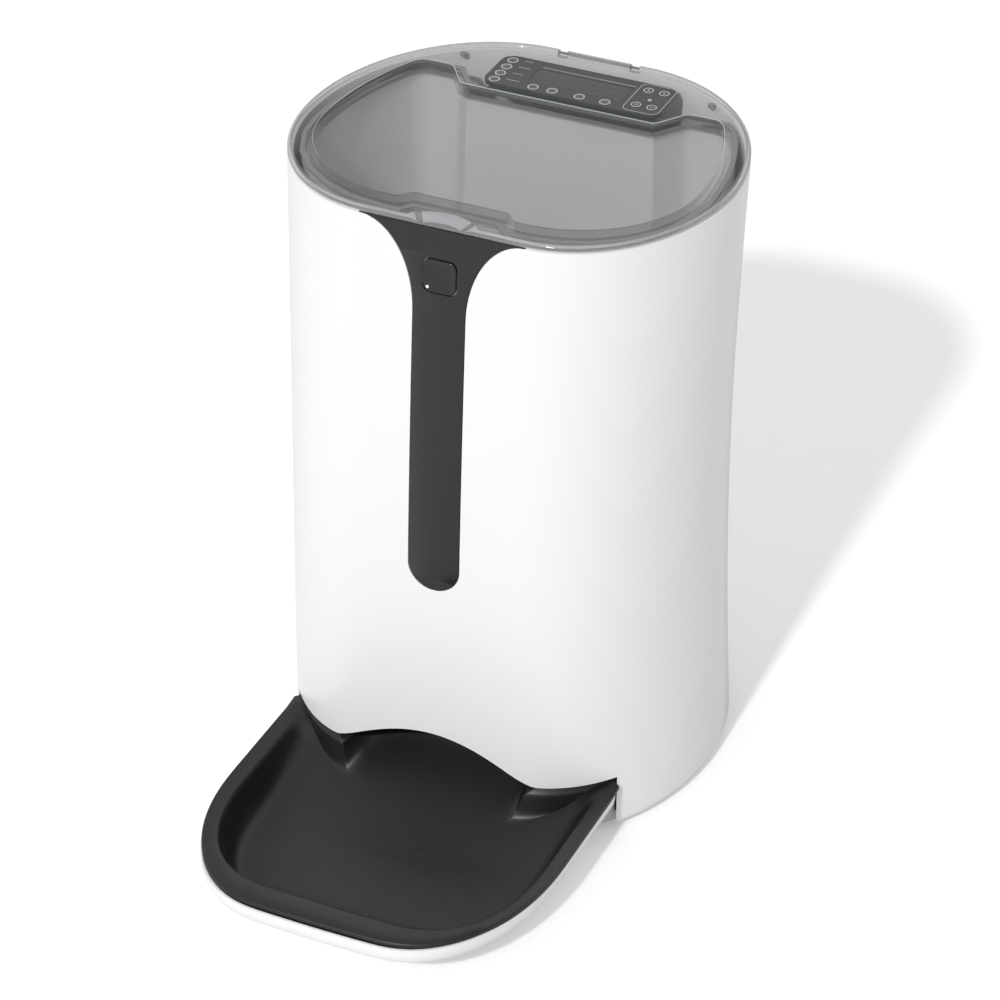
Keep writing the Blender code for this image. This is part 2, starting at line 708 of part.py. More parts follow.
def make_hinge_pin():
    """Steel pin through both ears that carries the lid."""
    reach = HINGE_EAR_INNER + HINGE_EAR_WIDTH
    return axle("lid_hinge_pin", (HINGE_Y, HINGE_Z), HINGE_PIN_RADIUS, -reach, reach, "steel", SMALL_SIDES)


def make_base_plate():
    """Bottom cover with the wall that closes the body's front under the tray."""
    outline = body_outline(FOOT_LIFT + BODY_FILLET, BODY_FILLET + BODY_LIP + BASE_EDGE_GAP)
    plate = prism("base_plate", outline, FOOT_LIFT, BASE_TOP)
    outer = body_outline(WAVE_HEIGHT, FRONT_WALL_INSET)
    inner = body_outline(WAVE_HEIGHT, FRONT_WALL_INSET + FRONT_WALL_THICKNESS)
    front = prism("front_wall", outer, FOOT_LIFT, FRONT_WALL_HEIGHT)
    cut(front, prism("front_inner", inner, FOOT_LIFT - OVERRUN, FRONT_WALL_HEIGHT + OVERRUN))
    tip = WIDEST_Y - TIP_AHEAD
    reach = BODY_HALF_WIDTH + OVERRUN
    low = FOOT_LIFT - OVERRUN
    high = FRONT_WALL_HEIGHT + OVERRUN
    back = WIDEST_Y + BODY_BACK + OVERRUN
    cut(front, box("behind", (-reach, tip + WAVE_CUT_BEHIND_TIP, low), (reach, back, high)))
    ramp = RAMP_HALF_WIDTH + BOWL_EDGE_INSET + RAMP_SIDE_CLEAR
    cut(front, box("middle", (-ramp, front_face(0) - OVERRUN, FRONT_WALL_LOW), (ramp, back, high)))
    fuse(plate, front)

    for x, behind in SCREW_SPOTS:
        for side in (-1, 1):
            spot = (side * x, WIDEST_Y + behind)
            depth = FOOT_LIFT + SCREW_HEAD_DEPTH + SCREW_HEAD_HEIGHT
            cut(plate, disc("head_hole", spot, SCREW_HEAD_RADIUS + SEAT_GAP, 0, depth + SEAT_GAP),
                disc("shank_hole", spot, SCREW_RADIUS + SEAT_GAP, 0, BASE_TOP + OVERRUN))
    for x, behind in BODY_FOOT_SPOTS:
        for side in (-1, 1):
            spot = (side * x, WIDEST_Y + behind)
            cut(plate, disc("foot_pocket", spot, BODY_FOOT_RADIUS + SEAT_GAP, 0, FOOT_LIFT + FOOT_POCKET,
                            sides=ROUND_SIDES))
    low_x, high_x, low_y, high_y = cell_bay()
    cut(plate, box("door_hole", (low_x, low_y, 0), (high_x, high_y, BASE_TOP + OVERRUN)))
    edge = DOOR_MARGIN + RUN_GAP
    cut(plate, box("door_seat", (low_x - edge, low_y - edge, 0),
                   (high_x + edge, high_y + edge, FOOT_LIFT + DOOR_THICKNESS + SEAT_GAP)))
    grille = (SPEAKER_X, WIDEST_Y - SPEAKER_AHEAD)
    for across, along in ((-1, 0), (0, -1), (0, 0), (0, 1), (1, 0)):
        spot = (grille[0] + across * GRILLE_PITCH, grille[1] + along * GRILLE_PITCH)
        cut(plate, disc("grille", spot, GRILLE_RADIUS, 0, BASE_TOP + OVERRUN, sides=SMALL_SIDES // 2))
    return plate


def make_base_feet():
    """Four rubber feet set in pockets of the base plate."""
    feet = []
    for x, behind in BODY_FOOT_SPOTS:
        for side in (-1, 1):
            feet.append(disc("foot", (side * x, WIDEST_Y + behind), BODY_FOOT_RADIUS, 0,
                             FOOT_LIFT + FOOT_POCKET - SEAT_GAP, "rubber_black", ROUND_SIDES))
    return number("base_foot", feet)


def make_base_screws():
    """Four screws that hold the base plate to the body's bosses."""
    screws = []
    for x, behind in SCREW_SPOTS:
        for side in (-1, 1):
            spot = (side * x, WIDEST_Y + behind)
            low = FOOT_LIFT + SCREW_HEAD_DEPTH
            head = disc("screw", spot, SCREW_HEAD_RADIUS, low, low + SCREW_HEAD_HEIGHT, "steel")
            shank = disc("shank", spot, SCREW_RADIUS, low + SCREW_HEAD_HEIGHT / 2, BASE_TOP + SCREW_LENGTH,
                         "steel")
            screws.append(fuse(head, shank))
    return number("base_screw", screws)


# Tray and bowl

def lip_height(x):
    """Height of the bowl's ramp edge inside the body."""
    share = min(1, abs(x) / ARCH_HALF_WIDTH)
    return RAMP_LIP_HEIGHT + RAMP_LIP_RISE * (1 - share * share) ** ARCH_POWER


def wavy_back(ramp_half, ramp_end, tip_half, inset):
    """Back edge of a bowl ring: the ramp's lip, then along the inside of the body's wave edge."""
    points = [(ramp_half * step / RAMP_COLUMNS, WIDEST_Y - ramp_end) for step in range(RAMP_COLUMNS + 1)]
    start = ramp_half + BOWL_EDGE_INSET
    for step in range(DIP_COLUMNS + 1):
        x = start + (tip_half - start) * step / DIP_COLUMNS
        points.append((x, body_front_at(x, WAVE_HEIGHT, BODY_WALL) - inset))
    tip_front = min(points[-1][1], body_front_at(WAVE_HALF_WIDTH, WAVE_HEIGHT))
    points.append((tip_half, tip_front - TIP_CLEAR))
    return points


def straight_back(half, y):
    """Back edge of a bowl ring straight across, with as many points as the wavy one."""
    last = RAMP_COLUMNS + DIP_COLUMNS + 2
    return [(half * step / last, y) for step in range(last + 1)]


def tray_half(back, side_half, reach, power):
    """Right half of a tray ring from the middle of the back to the middle of the front."""
    side_start = back[-1][1]
    side_end = WIDEST_Y - TRAY_SIDE_END
    half = list(back)
    half.append((side_half, side_start - TIP_CLEAR))
    half.append((side_half, (side_start + side_end) / 2))
    half += ellipse_arc((TRAY_CORNER_FLAT, side_end), side_half - TRAY_CORNER_FLAT, reach - TRAY_SIDE_END,
                        0, -90, OUTLINE_STEPS, power)
    half.append((0, WIDEST_Y - reach))
    return half


def whole_ring(half, heights):
    """Mirror half a tray ring and give each point its height."""
    right = [(x, y, z) for (x, y), z in zip(half, heights)]
    return right + [(-x, y, z) for x, y, z in reversed(right[1:-1])]


def bowl_rings():
    """Upper side of the bowl as rings from the rim to the floor."""
    back = wavy_back(RAMP_HALF_WIDTH, RAMP_END_AHEAD, TIP_HALF_WIDTH, 0)
    outer = tray_half(back, TRAY_HALF_WIDTH, TRAY_REACH, TRAY_CORNER_POWER)
    outer_z = []
    for step, (x, y) in enumerate(outer):
        if step <= RAMP_COLUMNS:
            outer_z.append(lip_height(x))
        elif step <= RAMP_COLUMNS + DIP_COLUMNS + 1:
            outer_z.append(WAVE_HEIGHT - BOWL_EDGE_DROP)
        elif step == RAMP_COLUMNS + DIP_COLUMNS + 2:
            outer_z.append((WAVE_HEIGHT - BOWL_EDGE_DROP + TRAY_RIM_HEIGHT) / 2)
        else:
            outer_z.append(TRAY_RIM_HEIGHT)
    back = wavy_back(RAMP_HALF_WIDTH - BOWL_EDGE_INSET, RAMP_END_AHEAD + BOWL_EDGE_INSET, BOWL_TIP_HALF,
                     BOWL_EDGE_INSET)
    inner = tray_half(back, BOWL_INNER_HALF, BOWL_INNER_REACH, BOWL_INNER_POWER)
    inner_z = [min(z - BOWL_RIM_DROP, TRAY_RIM_HEIGHT) if z < WAVE_HEIGHT else z - BOWL_RIM_DROP for z in outer_z]
    crease = WIDEST_Y - BOWL_FLOOR_BACK
    floor = tray_half(straight_back(BOWL_FLOOR_HALF, crease), BOWL_FLOOR_HALF, BOWL_FLOOR_REACH,
                      BOWL_INNER_POWER)
    floor_z = [BOWL_FLOOR_HEIGHT + BOWL_FLOOR_RISE for point in floor]
    middle = (crease + WIDEST_Y - BOWL_FLOOR_REACH) / 2
    base = [(x * BOWL_FLOOR_SHARE, middle + (y - middle) * BOWL_FLOOR_SHARE) for x, y in floor]
    base_z = [BOWL_FLOOR_HEIGHT for point in floor]
    return [whole_ring(outer, outer_z), whole_ring(inner, inner_z), whole_ring(floor, floor_z),
            whole_ring(base, base_z)]


def hull_rings():
    """Under side of the white hull as rings from its edge to its floor."""
    back = WIDEST_Y - TRAY_BACK_AHEAD
    columns = wavy_back(RAMP_HALF_WIDTH, RAMP_END_AHEAD, TIP_HALF_WIDTH - TRAY_EDGE_INSET, 0)
    plan = []
    for x, y in columns:
        limit = body_front_at(x, WAVE_HEIGHT, -TIP_CLEAR) - TIP_CLEAR
        plan.append((x, back if x <= RAMP_HALF_WIDTH else min(y, limit)))
    plan = tray_half(plan, TRAY_HALF_WIDTH - TRAY_EDGE_INSET, TRAY_REACH - TRAY_EDGE_INSET, TRAY_CORNER_POWER)
    top = TRAY_RIM_HEIGHT - BOWL_WALL - SEAT_GAP - HULL_WALL
    edge_z = []
    for step, (x, y) in enumerate(plan):
        share = min(1, max(0, (x - RAMP_HALF_WIDTH) / (TIP_HALF_WIDTH - RAMP_HALF_WIDTH)))
        on_back = step <= RAMP_COLUMNS + DIP_COLUMNS + 2
        edge_z.append(HULL_BACK_FOOT + (top - HULL_BACK_FOOT) * share * share if on_back else top)
    rings = [whole_ring(plan, edge_z)]
    span = TRAY_REACH - TRAY_BACK_AHEAD
    for row, (height, side, front) in enumerate(zip(HULL_LEVELS, HULL_SIDE_INSETS, HULL_FRONT_INSETS)):
        across = 1 - side / TRAY_HALF_WIDTH
        along = 1 - front / span
        deepen = (row + 1) * HULL_BACK_STEP
        ring = [(x * across, back - deepen + (y - back) * along) for x, y in plan]
        lower = [min(height, edge - (edge - HULL_LEVELS[-1]) * (row + 1) / len(HULL_LEVELS)) for edge in edge_z]
        rings.append(whole_ring(ring, lower))
    return rings


def slab(name, rings, wall, finish):
    """Close rings into a dish: the given side and a copy moved up or down by the wall."""
    copy = [[(x, y, z + wall) for x, y, z in ring] for ring in rings]
    return skin(name, copy[::-1] + rings, finish)


def make_tray():
    """Food bowl and the white hull that carries it."""
    bowl = slab("food_bowl", bowl_rings(), -BOWL_WALL, "charcoal")
    hull = slab("tray_shell", hull_rings(), HULL_WALL, "white_shell")
    feet = []
    for side in (-1, 1):
        near, far = sorted((side * (TRAY_FOOT_HALF_SPAN - TRAY_FOOT_RADIUS), side * (TRAY_FOOT_HALF_SPAN + TRAY_FOOT_RADIUS)))
        feet.append(box("foot", (near, WIDEST_Y - TRAY_FOOT_AHEAD[1], 0),
                        (far, WIDEST_Y - TRAY_FOOT_AHEAD[0], HULL_LEVELS[-1] - SEAT_GAP), "rubber_black"))
    number("tray_foot", feet)
    return bowl, hull


# Top deck, lid and seal

def make_top_deck():
    """Ring that closes the body's top round the hopper mouth and holds the control panel."""
    deck = prism("top_deck", body_outline(DECK_TOP, BODY_WALL + SEAT_GAP), DECK_BOTTOM, DECK_TOP, "deck_grey")
    cut(deck, prism("mouth", mouth_outline(MOUTH_GROW), DECK_BOTTOM - OVERRUN, DECK_TOP + OVERRUN))
    front = WIDEST_Y + PANEL_FRONT
    back = WIDEST_Y + PANEL_BACK
    pocket = panel_outline(SEAT_GAP)
    cut(deck, prism("pocket", pocket, PANEL_TOP - PANEL_THICKNESS - SEAT_GAP, DECK_TOP + OVERRUN))
    low = DECK_BOTTOM - OVERRUN
    cut(deck, box("window", (-PANEL_HALF_WIDTH + PANEL_LEDGE, front + PANEL_LEDGE, low),
                  (PANEL_HALF_WIDTH - PANEL_LEDGE, back - PANEL_LEDGE, DECK_TOP)))
    board_low = DECK_BOTTOM - SEAT_GAP - BOARD_THICKNESS
    for side in (-1, 1):
        inner, outer = DISPLAY_BOARD_HALF + SEAT_GAP, DISPLAY_BOARD_HALF + SEAT_GAP + CLIP_WIDTH
        ends = sorted((side * inner, side * outer))
        clip = box("clip", (ends[0], WIDEST_Y + CLIP_FRONT, board_low - SEAT_GAP - CLIP_LIP),
                   (ends[1], WIDEST_Y + CLIP_BACK, DECK_BOTTOM + CLIP_LIP / 2))
        lip_ends = sorted((side * (inner - CLIP_LIP), side * outer))
        lip = box("lip", (lip_ends[0], WIDEST_Y + CLIP_FRONT, board_low - SEAT_GAP - CLIP_LIP),
                  (lip_ends[1], WIDEST_Y + CLIP_BACK, board_low - SEAT_GAP))
        fuse(deck, fuse(clip, lip))
    return deck


def panel_outline(grow=0):
    """Rounded outline of the control panel."""
    corner = PANEL_CORNER
    half_x = PANEL_HALF_WIDTH + grow - corner
    half_y = (PANEL_BACK - PANEL_FRONT) / 2 + grow - corner
    middle = WIDEST_Y + (PANEL_BACK + PANEL_FRONT) / 2
    points = []
    for side, along, start in ((1, -1, -90), (1, 1, 0), (-1, 1, 90), (-1, -1, 180)):
        centre = (side * half_x, middle + along * half_y)
        points += ellipse_arc(centre, corner, corner, start, start + 90, 3)
    return points


def make_lid():
    """Clear lid: a plate with rounded edges, a sunken centre, a finger scoop and hinge barrels."""
    rings = []
    for height, inset in ((LID_BOTTOM, LID_UNDER_CHAMFER), (LID_BOTTOM + LID_UNDER_CHAMFER, 0),
                          (LID_TOP - LID_EDGE_DROP, 0), (LID_TOP - LID_EDGE_STEP_DROP, LID_EDGE_STEP),
                          (LID_TOP, LID_EDGE_ROUND)):
        rings.append(level(body_outline(BODY_TOP, inset), height))
    lid = skin("lid", rings, "smoke_clear")
    recess_floor = LID_TOP - RECESS_DEPTH
    plug = skin("plug", [level(mouth_outline(PLUG_WALL - RECESS_DRAFT), recess_floor - PLUG_WALL),
                         level(mouth_outline(PLUG_WALL), LID_BOTTOM + LID_UNDER_CHAMFER)], "smoke_clear")
    fuse(lid, plug)
    recess = skin("recess", [level(mouth_outline(-RECESS_DRAFT), recess_floor),
                             level(mouth_outline(), LID_TOP - RECESS_ROUND),
                             level(mouth_outline(RECESS_ROUND), LID_TOP),
                             level(mouth_outline(RECESS_ROUND), LID_TOP + OVERRUN)], "smoke_clear")
    cut(lid, recess)
    centre = (0, WIDEST_Y - SCOOP_AHEAD)
    scoop = skin("scoop", [level(circle(SCOOP_LOW_RADIUS, ROUND_SIDES * 2, centre), LID_BOTTOM + SCOOP_FLOOR),
                           level(circle(SCOOP_RADIUS, ROUND_SIDES * 2, centre), LID_TOP + SEAT_GAP)], "smoke_clear")
    cut(lid, scoop)
    notch_front = HINGE_Y - HINGE_BARREL_RADIUS - RUN_GAP
    for side in (-1, 1):
        low, high = ear_span(side, RUN_GAP)
        cut(lid, box("ear_notch", (low, notch_front, BODY_TOP - OVERRUN), (high, HINGE_Y + OVERRUN, LID_TOP + OVERRUN)))
    reach = HINGE_EAR_INNER + OVERRUN
    cut(lid, axle("pin_bore", (HINGE_Y, HINGE_Z), HINGE_PIN_RADIUS + SEAT_GAP, -reach, reach, sides=SMALL_SIDES))
    return set_origin(lid, (0, HINGE_Y, HINGE_Z))


def make_lid_seal():
    """Soft gasket under the lid, round the hopper mouth."""
    inner = mouth_outline(MOUTH_GROW + SEAL_INNER)
    outer = mouth_outline(MOUTH_GROW + SEAL_INNER + SEAL_WIDTH)
    low = DECK_TOP + SEAT_GAP
    high = LID_BOTTOM - SEAT_GAP
    return skin("lid_seal", [level(inner, low), level(outer, low), level(outer, high), level(inner, high)],
                "seal_grey", closed=True)


def make_lid_pads():
    """Two small bumpers at the back of the deck that the lid rests on."""
    pads = []
    for x, behind in PAD_SPOTS:
        for side in (-1, 1):
            pads.append(disc("pad", (side * x, WIDEST_Y + behind), PAD_RADIUS, DECK_TOP + SEAT_GAP,
                             LID_BOTTOM - SEAT_GAP, "seal_grey"))
    return number("lid_pad", pads)


# Control panel

def make_panel():
    """Dark panel overlay with its display, keys and lamps."""
    low = PANEL_TOP - PANEL_THICKNESS
    panel = prism("control_panel", panel_outline(), low, PANEL_TOP, "charcoal_gloss")
    over = PANEL_TOP + OVERRUN
    cut(panel, box("window", (LCD_LEFT, WIDEST_Y + LCD_FRONT, low - OVERRUN),
                   (LCD_RIGHT, WIDEST_Y + LCD_BACK, over)))
    for spot in key_spots():
        cut(panel, disc("key_hole", spot, KEY_RADIUS + SEAT_GAP, low - OVERRUN, over))
    for spot in lamp_spots():
        cut(panel, disc("lamp_hole", spot, LAMP_RADIUS + SEAT_GAP, low - OVERRUN, over))
    led = (LED_CENTRE[0], WIDEST_Y + LED_CENTRE[1])
    cut(panel, disc("led_hole", led, LED_RADIUS + SEAT_GAP, low - OVERRUN, over))
    board_top = DECK_BOTTOM - SEAT_GAP
    gap = SEAT_GAP
    box("lcd_display", (LCD_LEFT + gap, WIDEST_Y + LCD_FRONT + gap, board_top + gap),
        (LCD_RIGHT - gap, WIDEST_Y + LCD_BACK - gap, PANEL_TOP - gap / 2), "display_dark")
    for place, spot in enumerate(key_spots(), start=1):
        make_key(f"panel_key_{place}", spot, board_top)
    make_light_guide("light_guide_column", lamp_spots()[:len(LAMP_COLUMN_BEHIND)])
    make_light_guide("light_guide_row", lamp_spots()[len(LAMP_COLUMN_BEHIND):])
    disc("status_led", led, LED_RADIUS, board_top + gap, PANEL_TOP, "lamp_white")
    board = box("display_board", (-DISPLAY_BOARD_HALF, WIDEST_Y + DISPLAY_BOARD_FRONT, board_top - BOARD_THICKNESS),
                (DISPLAY_BOARD_HALF, WIDEST_Y + DISPLAY_BOARD_BACK, board_top), "board_green")
    for x, y in key_spots():
        half = SWITCH_SIZE / 2
        fuse(board, box("switch", (x - half, y - half, board_top - BOARD_THICKNESS / 2),
                        (x + half, y + half, board_top + SWITCH_HEIGHT)))
    return panel


def key_spots():
    """Centres of the four panel keys."""
    return [(x, WIDEST_Y + behind) for x in KEY_CENTRES_X for behind in KEY_CENTRES_BEHIND]


def lamp_spots():
    """Centres of the eight panel lamps."""
    column = [(LAMP_COLUMN_X, WIDEST_Y + behind) for behind in LAMP_COLUMN_BEHIND]
    return column + [(x, WIDEST_Y + LAMP_ROW_BEHIND) for x in LAMP_ROW_X]


def make_light_guide(name, spots):
    """Row of round lamps moulded on one clear bar behind the panel."""
    low = PANEL_TOP - PANEL_THICKNESS
    first, last = spots[0], spots[-1]
    half = GUIDE_HALF_WIDTH
    guide = box(name, (min(first[0], last[0]) - half, min(first[1], last[1]) - half, low - SEAT_GAP - GUIDE_DEPTH),
                (max(first[0], last[0]) + half, max(first[1], last[1]) + half, low - SEAT_GAP), "lamp_white")
    for spot in spots:
        fuse(guide, disc("lamp", spot, LAMP_RADIUS, low - SEAT_GAP - GUIDE_DEPTH / 2, PANEL_TOP))
    return guide


def make_key(name, spot, board_top):
    """Round panel key on a stem over its switch."""
    cap_low = PANEL_TOP + KEY_PROUD - KEY_CAP
    key = disc(name, spot, KEY_RADIUS, cap_low, PANEL_TOP + KEY_PROUD, "charcoal_gloss")
    stem_low = board_top + SWITCH_HEIGHT + KEY_TRAVEL + SEAT_GAP / 3
    fuse(key, disc("stem", spot, KEY_STEM_RADIUS, stem_low, cap_low + KEY_CAP / 2))
    return set_origin(key, (spot[0], spot[1], PANEL_TOP))


# Front trim and feed button

def trim_half_width(drop):
    """Half-width of the front trim at a distance below the body's top."""
    if drop < TRIM_FLARE_HEIGHT:
        share = 1 - drop / TRIM_FLARE_HEIGHT
        bend = 1 - math.sqrt(1 - share * share)
        return TRIM_STEM_HALF + (TRIM_TOP_HALF - TRIM_STEM_HALF) * bend
    left = TRIM_LENGTH - drop
    if left < TRIM_STEM_HALF:
        return math.sqrt(max(0, TRIM_STEM_HALF ** 2 - (TRIM_STEM_HALF - left) ** 2))
    return TRIM_STEM_HALF


def trim_drops():
    """Distances below the body's top at which the trim's outline has points."""
    drops = []
    for step in range(TRIM_FLARE_ROWS):
        turn = math.pi / 2 * step / TRIM_FLARE_ROWS
        drops.append(TRIM_FLARE_HEIGHT * (1 - math.cos(turn)))
    stem = TRIM_LENGTH - TRIM_STEM_HALF - TRIM_FLARE_HEIGHT
    for step in range(TRIM_STEM_ROWS + 1):
        drops.append(TRIM_FLARE_HEIGHT + stem * step / TRIM_STEM_ROWS)
    for step in range(1, TRIM_END_ROWS):
        turn = math.pi / 2 * step / TRIM_END_ROWS
        drops.append(TRIM_LENGTH - TRIM_STEM_HALF * (1 - math.sin(turn)))
    return drops


def trim_sheet(name, grow, outward, depth, finish="charcoal"):
    """Solid that follows the body's front: the trim itself, or its pocket when grown."""
    rings = []
    for drop in trim_drops():
        half = trim_half_width(drop) + grow
        rings.append(trim_row(half, BODY_TOP - drop, outward, depth))
    if grow:
        rings[0] = trim_row(TRIM_TOP_HALF + grow, BODY_TOP, outward, depth)
        rings.insert(0, trim_row(TRIM_TOP_HALF + grow, BODY_TOP + OVERRUN, outward, depth))
        last = trim_half_width(trim_drops()[-1])
        rings.append(trim_row(last, BODY_TOP - trim_drops()[-1] - grow, outward, depth))
    return skin(name, rings, finish)


def trim_row(half, height, outward, depth):
    """Four points across the trim at one height."""
    front = front_face(height) - outward
    back = front_face(height) + depth
    return [(-half, front, height), (half, front, height), (half, back, height), (-half, back, height)]


def button_frame():
    """Centre, upward direction and outward direction of the button's face."""
    step = BUTTON_SIZE / 4
    rise = front_face(BUTTON_HEIGHT + step) - front_face(BUTTON_HEIGHT - step)
    up = Vector((0, rise, 2 * step)).normalized()
    out = Vector((0, -up.z, up.y))
    return Vector((0, front_face(BUTTON_HEIGHT), BUTTON_HEIGHT)), up, out


def on_button(outline, distance):
    """Place a flat outline on the button's face, moved outwards by a distance."""
    centre, up, out = button_frame()
    return [tuple(centre + Vector((x, 0, 0)) + up * rise + out * distance) for x, rise in outline]


def square_outline(size, corner, steps=3):
    """Rounded square round the origin."""
    half = size / 2 - corner
    points = []
    for side, along, start in ((1, -1, -90), (1, 1, 0), (-1, 1, 90), (-1, -1, 180)):
        points += ellipse_arc((side * half, along * half), corner, corner, start, start + 90, steps)
    return points


def button_block(name, size, inner, outer, corner):
    """Rounded square bar through the front wall; distances are inwards from the surface."""
    outline = square_outline(size, corner)
    return skin(name, [on_button(outline, -outer), on_button(outline, -inner)], "white_shell")


def button_post(name, side):
    """Post inside the front wall that holds the button's board."""
    outline = circle(BUTTON_POST_RADIUS, SMALL_SIDES, (side * BUTTON_POST_SPAN, 0))
    top = board_depth() - SEAT_GAP
    return skin(name, [on_button(outline, -top), on_button(outline, -BODY_WALL / 2 - BODY_WALL / 4)], "white_shell")


def board_depth():
    """Distance from the front surface inwards to the button's board."""
    return BUTTON_DEPTH + BUTTON_STEM_LENGTH + BUTTON_SWITCH_GAP + BUTTON_SWITCH_DEPTH


def make_front_pieces():
    """Trim strip, feed button, its lamp and the board behind it."""
    trim = trim_sheet("front_trim", 0, 0, TRIM_THICKNESS)
    cut(trim, button_block("trim_hole", BUTTON_HOLE, -OVERRUN, BODY_WALL, BUTTON_CORNER))
    full = square_outline(BUTTON_SIZE, BUTTON_CORNER)
    edge = square_outline(BUTTON_SIZE - BUTTON_PROUD * 2, BUTTON_CORNER)
    dish = square_outline(BUTTON_SIZE - BUTTON_CORNER, BUTTON_CORNER)
    button = skin("feed_button", [on_button(full, -BUTTON_DEPTH), on_button(full, BUTTON_PROUD / 4),
                                  on_button(edge, BUTTON_PROUD), on_button(dish, BUTTON_PROUD - BUTTON_DISH)],
                  "charcoal_gloss")
    stem = circle(BUTTON_STEM_RADIUS, SMALL_SIDES)
    fuse(button, skin("stem", [on_button(stem, -BUTTON_DEPTH - BUTTON_STEM_LENGTH),
                               on_button(stem, -BUTTON_DEPTH / 2)], "white_shell"))
    inset = BUTTON_SIZE / 2 - BUTTON_LAMP_INSET
    spot = (-inset, -inset)
    hole = circle(BUTTON_LAMP_RADIUS + SEAT_GAP, SMALL_SIDES, spot)
    cut(button, skin("lamp_hole", [on_button(hole, -BUTTON_DEPTH / 2), on_button(hole, BUTTON_PROUD * 2)],
                     "white_shell"))
    lamp = circle(BUTTON_LAMP_RADIUS, SMALL_SIDES, spot)
    skin("button_light", [on_button(lamp, -BUTTON_DEPTH / 2 + SEAT_GAP), on_button(lamp, BUTTON_PROUD / 2)],
         "lamp_white")
    set_origin(button, button_frame()[0])
    half = BUTTON_BOARD_HALF
    tall = BUTTON_BOARD_HEIGHT / 2
    plate = [(-half, -tall), (half, -tall), (half, tall), (-half, tall)]
    deep = board_depth()
    board = skin("button_board", [on_button(plate, -deep - BUTTON_BOARD_THICKNESS), on_button(plate, -deep)],
                 "board_green")
    switch = square_outline(SWITCH_SIZE, SWITCH_SIZE / 4, 1)
    fuse(board, skin("switch", [on_button(switch, -deep - BUTTON_BOARD_THICKNESS / 2),
                                on_button(switch, -deep + BUTTON_SWITCH_DEPTH)], "white_shell"))
    return trim


# Hopper, dosing drum and drive

def throat_ring(grow):
    """Throat outline with one point for each point of the hopper's mouth."""
    middle = WIDEST_Y - MOUTH_CENTRE_AHEAD
    points = []
    for x, y in mouth_outline():
        turn = math.atan2((y - middle) / MOUTH_BACK_LINE, x / MOUTH_HALF_WIDTH)
        side, along = math.cos(turn), math.sin(turn)
        reach_x = math.copysign(abs(side) ** (2 / THROAT_POWER), side)
        reach_y = math.copysign(abs(along) ** (2 / THROAT_POWER), along)
        points.append(((THROAT_HALF_WIDTH + grow) * reach_x, DRUM_Y + (THROAT_HALF_DEPTH + grow) * reach_y))
    return points


def make_hopper():
    """Food tank: steep walls above, a funnel below, open at both ends."""
    top = DECK_BOTTOM - SEAT_GAP
    rings = []
    for wall, order in ((0, 1), (HOPPER_WALL, -1)):
        side = [level(mouth_outline(MOUTH_GROW + wall), top),
                level(mouth_outline(MOUTH_GROW - HOPPER_TAPER + wall), HOPPER_SHOULDER),
                level(throat_ring(wall), THROAT_TOP),
                level(throat_ring(wall), THROAT_BOTTOM)]
        rings += side[::order]
    return skin("hopper", rings, "tank_grey", closed=True)


def make_drum_housing():
    """Drum that the rotor turns in, with a collar for the hopper and a skirt for the chute."""
    end = DRUM_HALF_WIDTH + DRUM_WALL
    drum = axle("drum_housing", (DRUM_Y, DRUM_HEIGHT), DRUM_RADIUS + DRUM_WALL, -end, end, "acetal",
                DRUM_SIDES)
    front = WIDEST_Y - OUTLET_AHEAD
    back = WIDEST_Y - OUTLET_BEHIND
    skirt = end - SEAT_GAP
    fuse(drum, box("skirt", (-skirt, front - DRUM_WALL, SKIRT_BOTTOM), (skirt, back + DRUM_WALL, SKIRT_TOP)))
    fit = HOPPER_WALL + SEAT_GAP
    wide, deep = THROAT_HALF_WIDTH + fit, THROAT_HALF_DEPTH + fit
    fuse(drum, box("collar", (-wide - DRUM_WALL, DRUM_Y - deep - DRUM_WALL, COLLAR_FOOT),
                   (wide + DRUM_WALL, DRUM_Y + deep + DRUM_WALL, COLLAR_TOP)))
    for side in (-1, 1):
        for spot in bracket_posts():
            if side > 0:
                fuse(drum, axle("post", spot, BRACKET_POST_RADIUS, end - DRUM_WALL / 2,
                                BRACKET_START - SEAT_GAP, sides=SMALL_SIDES))
    inner = DRUM_HALF_WIDTH - SEAT_GAP
    cut(drum, box("outlet", (-inner, front, SKIRT_BOTTOM - OVERRUN), (inner, back, DRUM_HEIGHT)))
    cut(drum, box("inlet", (-THROAT_HALF_WIDTH, DRUM_Y - THROAT_HALF_DEPTH, DRUM_HEIGHT),
                  (THROAT_HALF_WIDTH, DRUM_Y + THROAT_HALF_DEPTH, COLLAR_TOP + OVERRUN)))
    cut(drum, axle("inside", (DRUM_Y, DRUM_HEIGHT), DRUM_RADIUS, -DRUM_HALF_WIDTH, DRUM_HALF_WIDTH,
                   sides=DRUM_SIDES))
    cut(drum, box("socket", (-wide, DRUM_Y - deep, THROAT_BOTTOM - SEAT_GAP), (wide, DRUM_Y + deep, COLLAR_TOP + OVERRUN)))
    cut(drum, axle("bush_hole", (DRUM_Y, DRUM_HEIGHT), BUSH_RADIUS + SEAT_GAP, -end - OVERRUN, end + OVERRUN))
    return drum


def bracket_posts():
    """Places of the two posts that carry the motor bracket, as (y, z)."""
    front = WIDEST_Y - OUTLET_AHEAD - DRUM_WALL + BRACKET_POST_INSET
    back = WIDEST_Y - OUTLET_BEHIND + DRUM_WALL - BRACKET_POST_INSET
    return [(front, BRACKET_POST_HEIGHT), (back, BRACKET_POST_HEIGHT)]


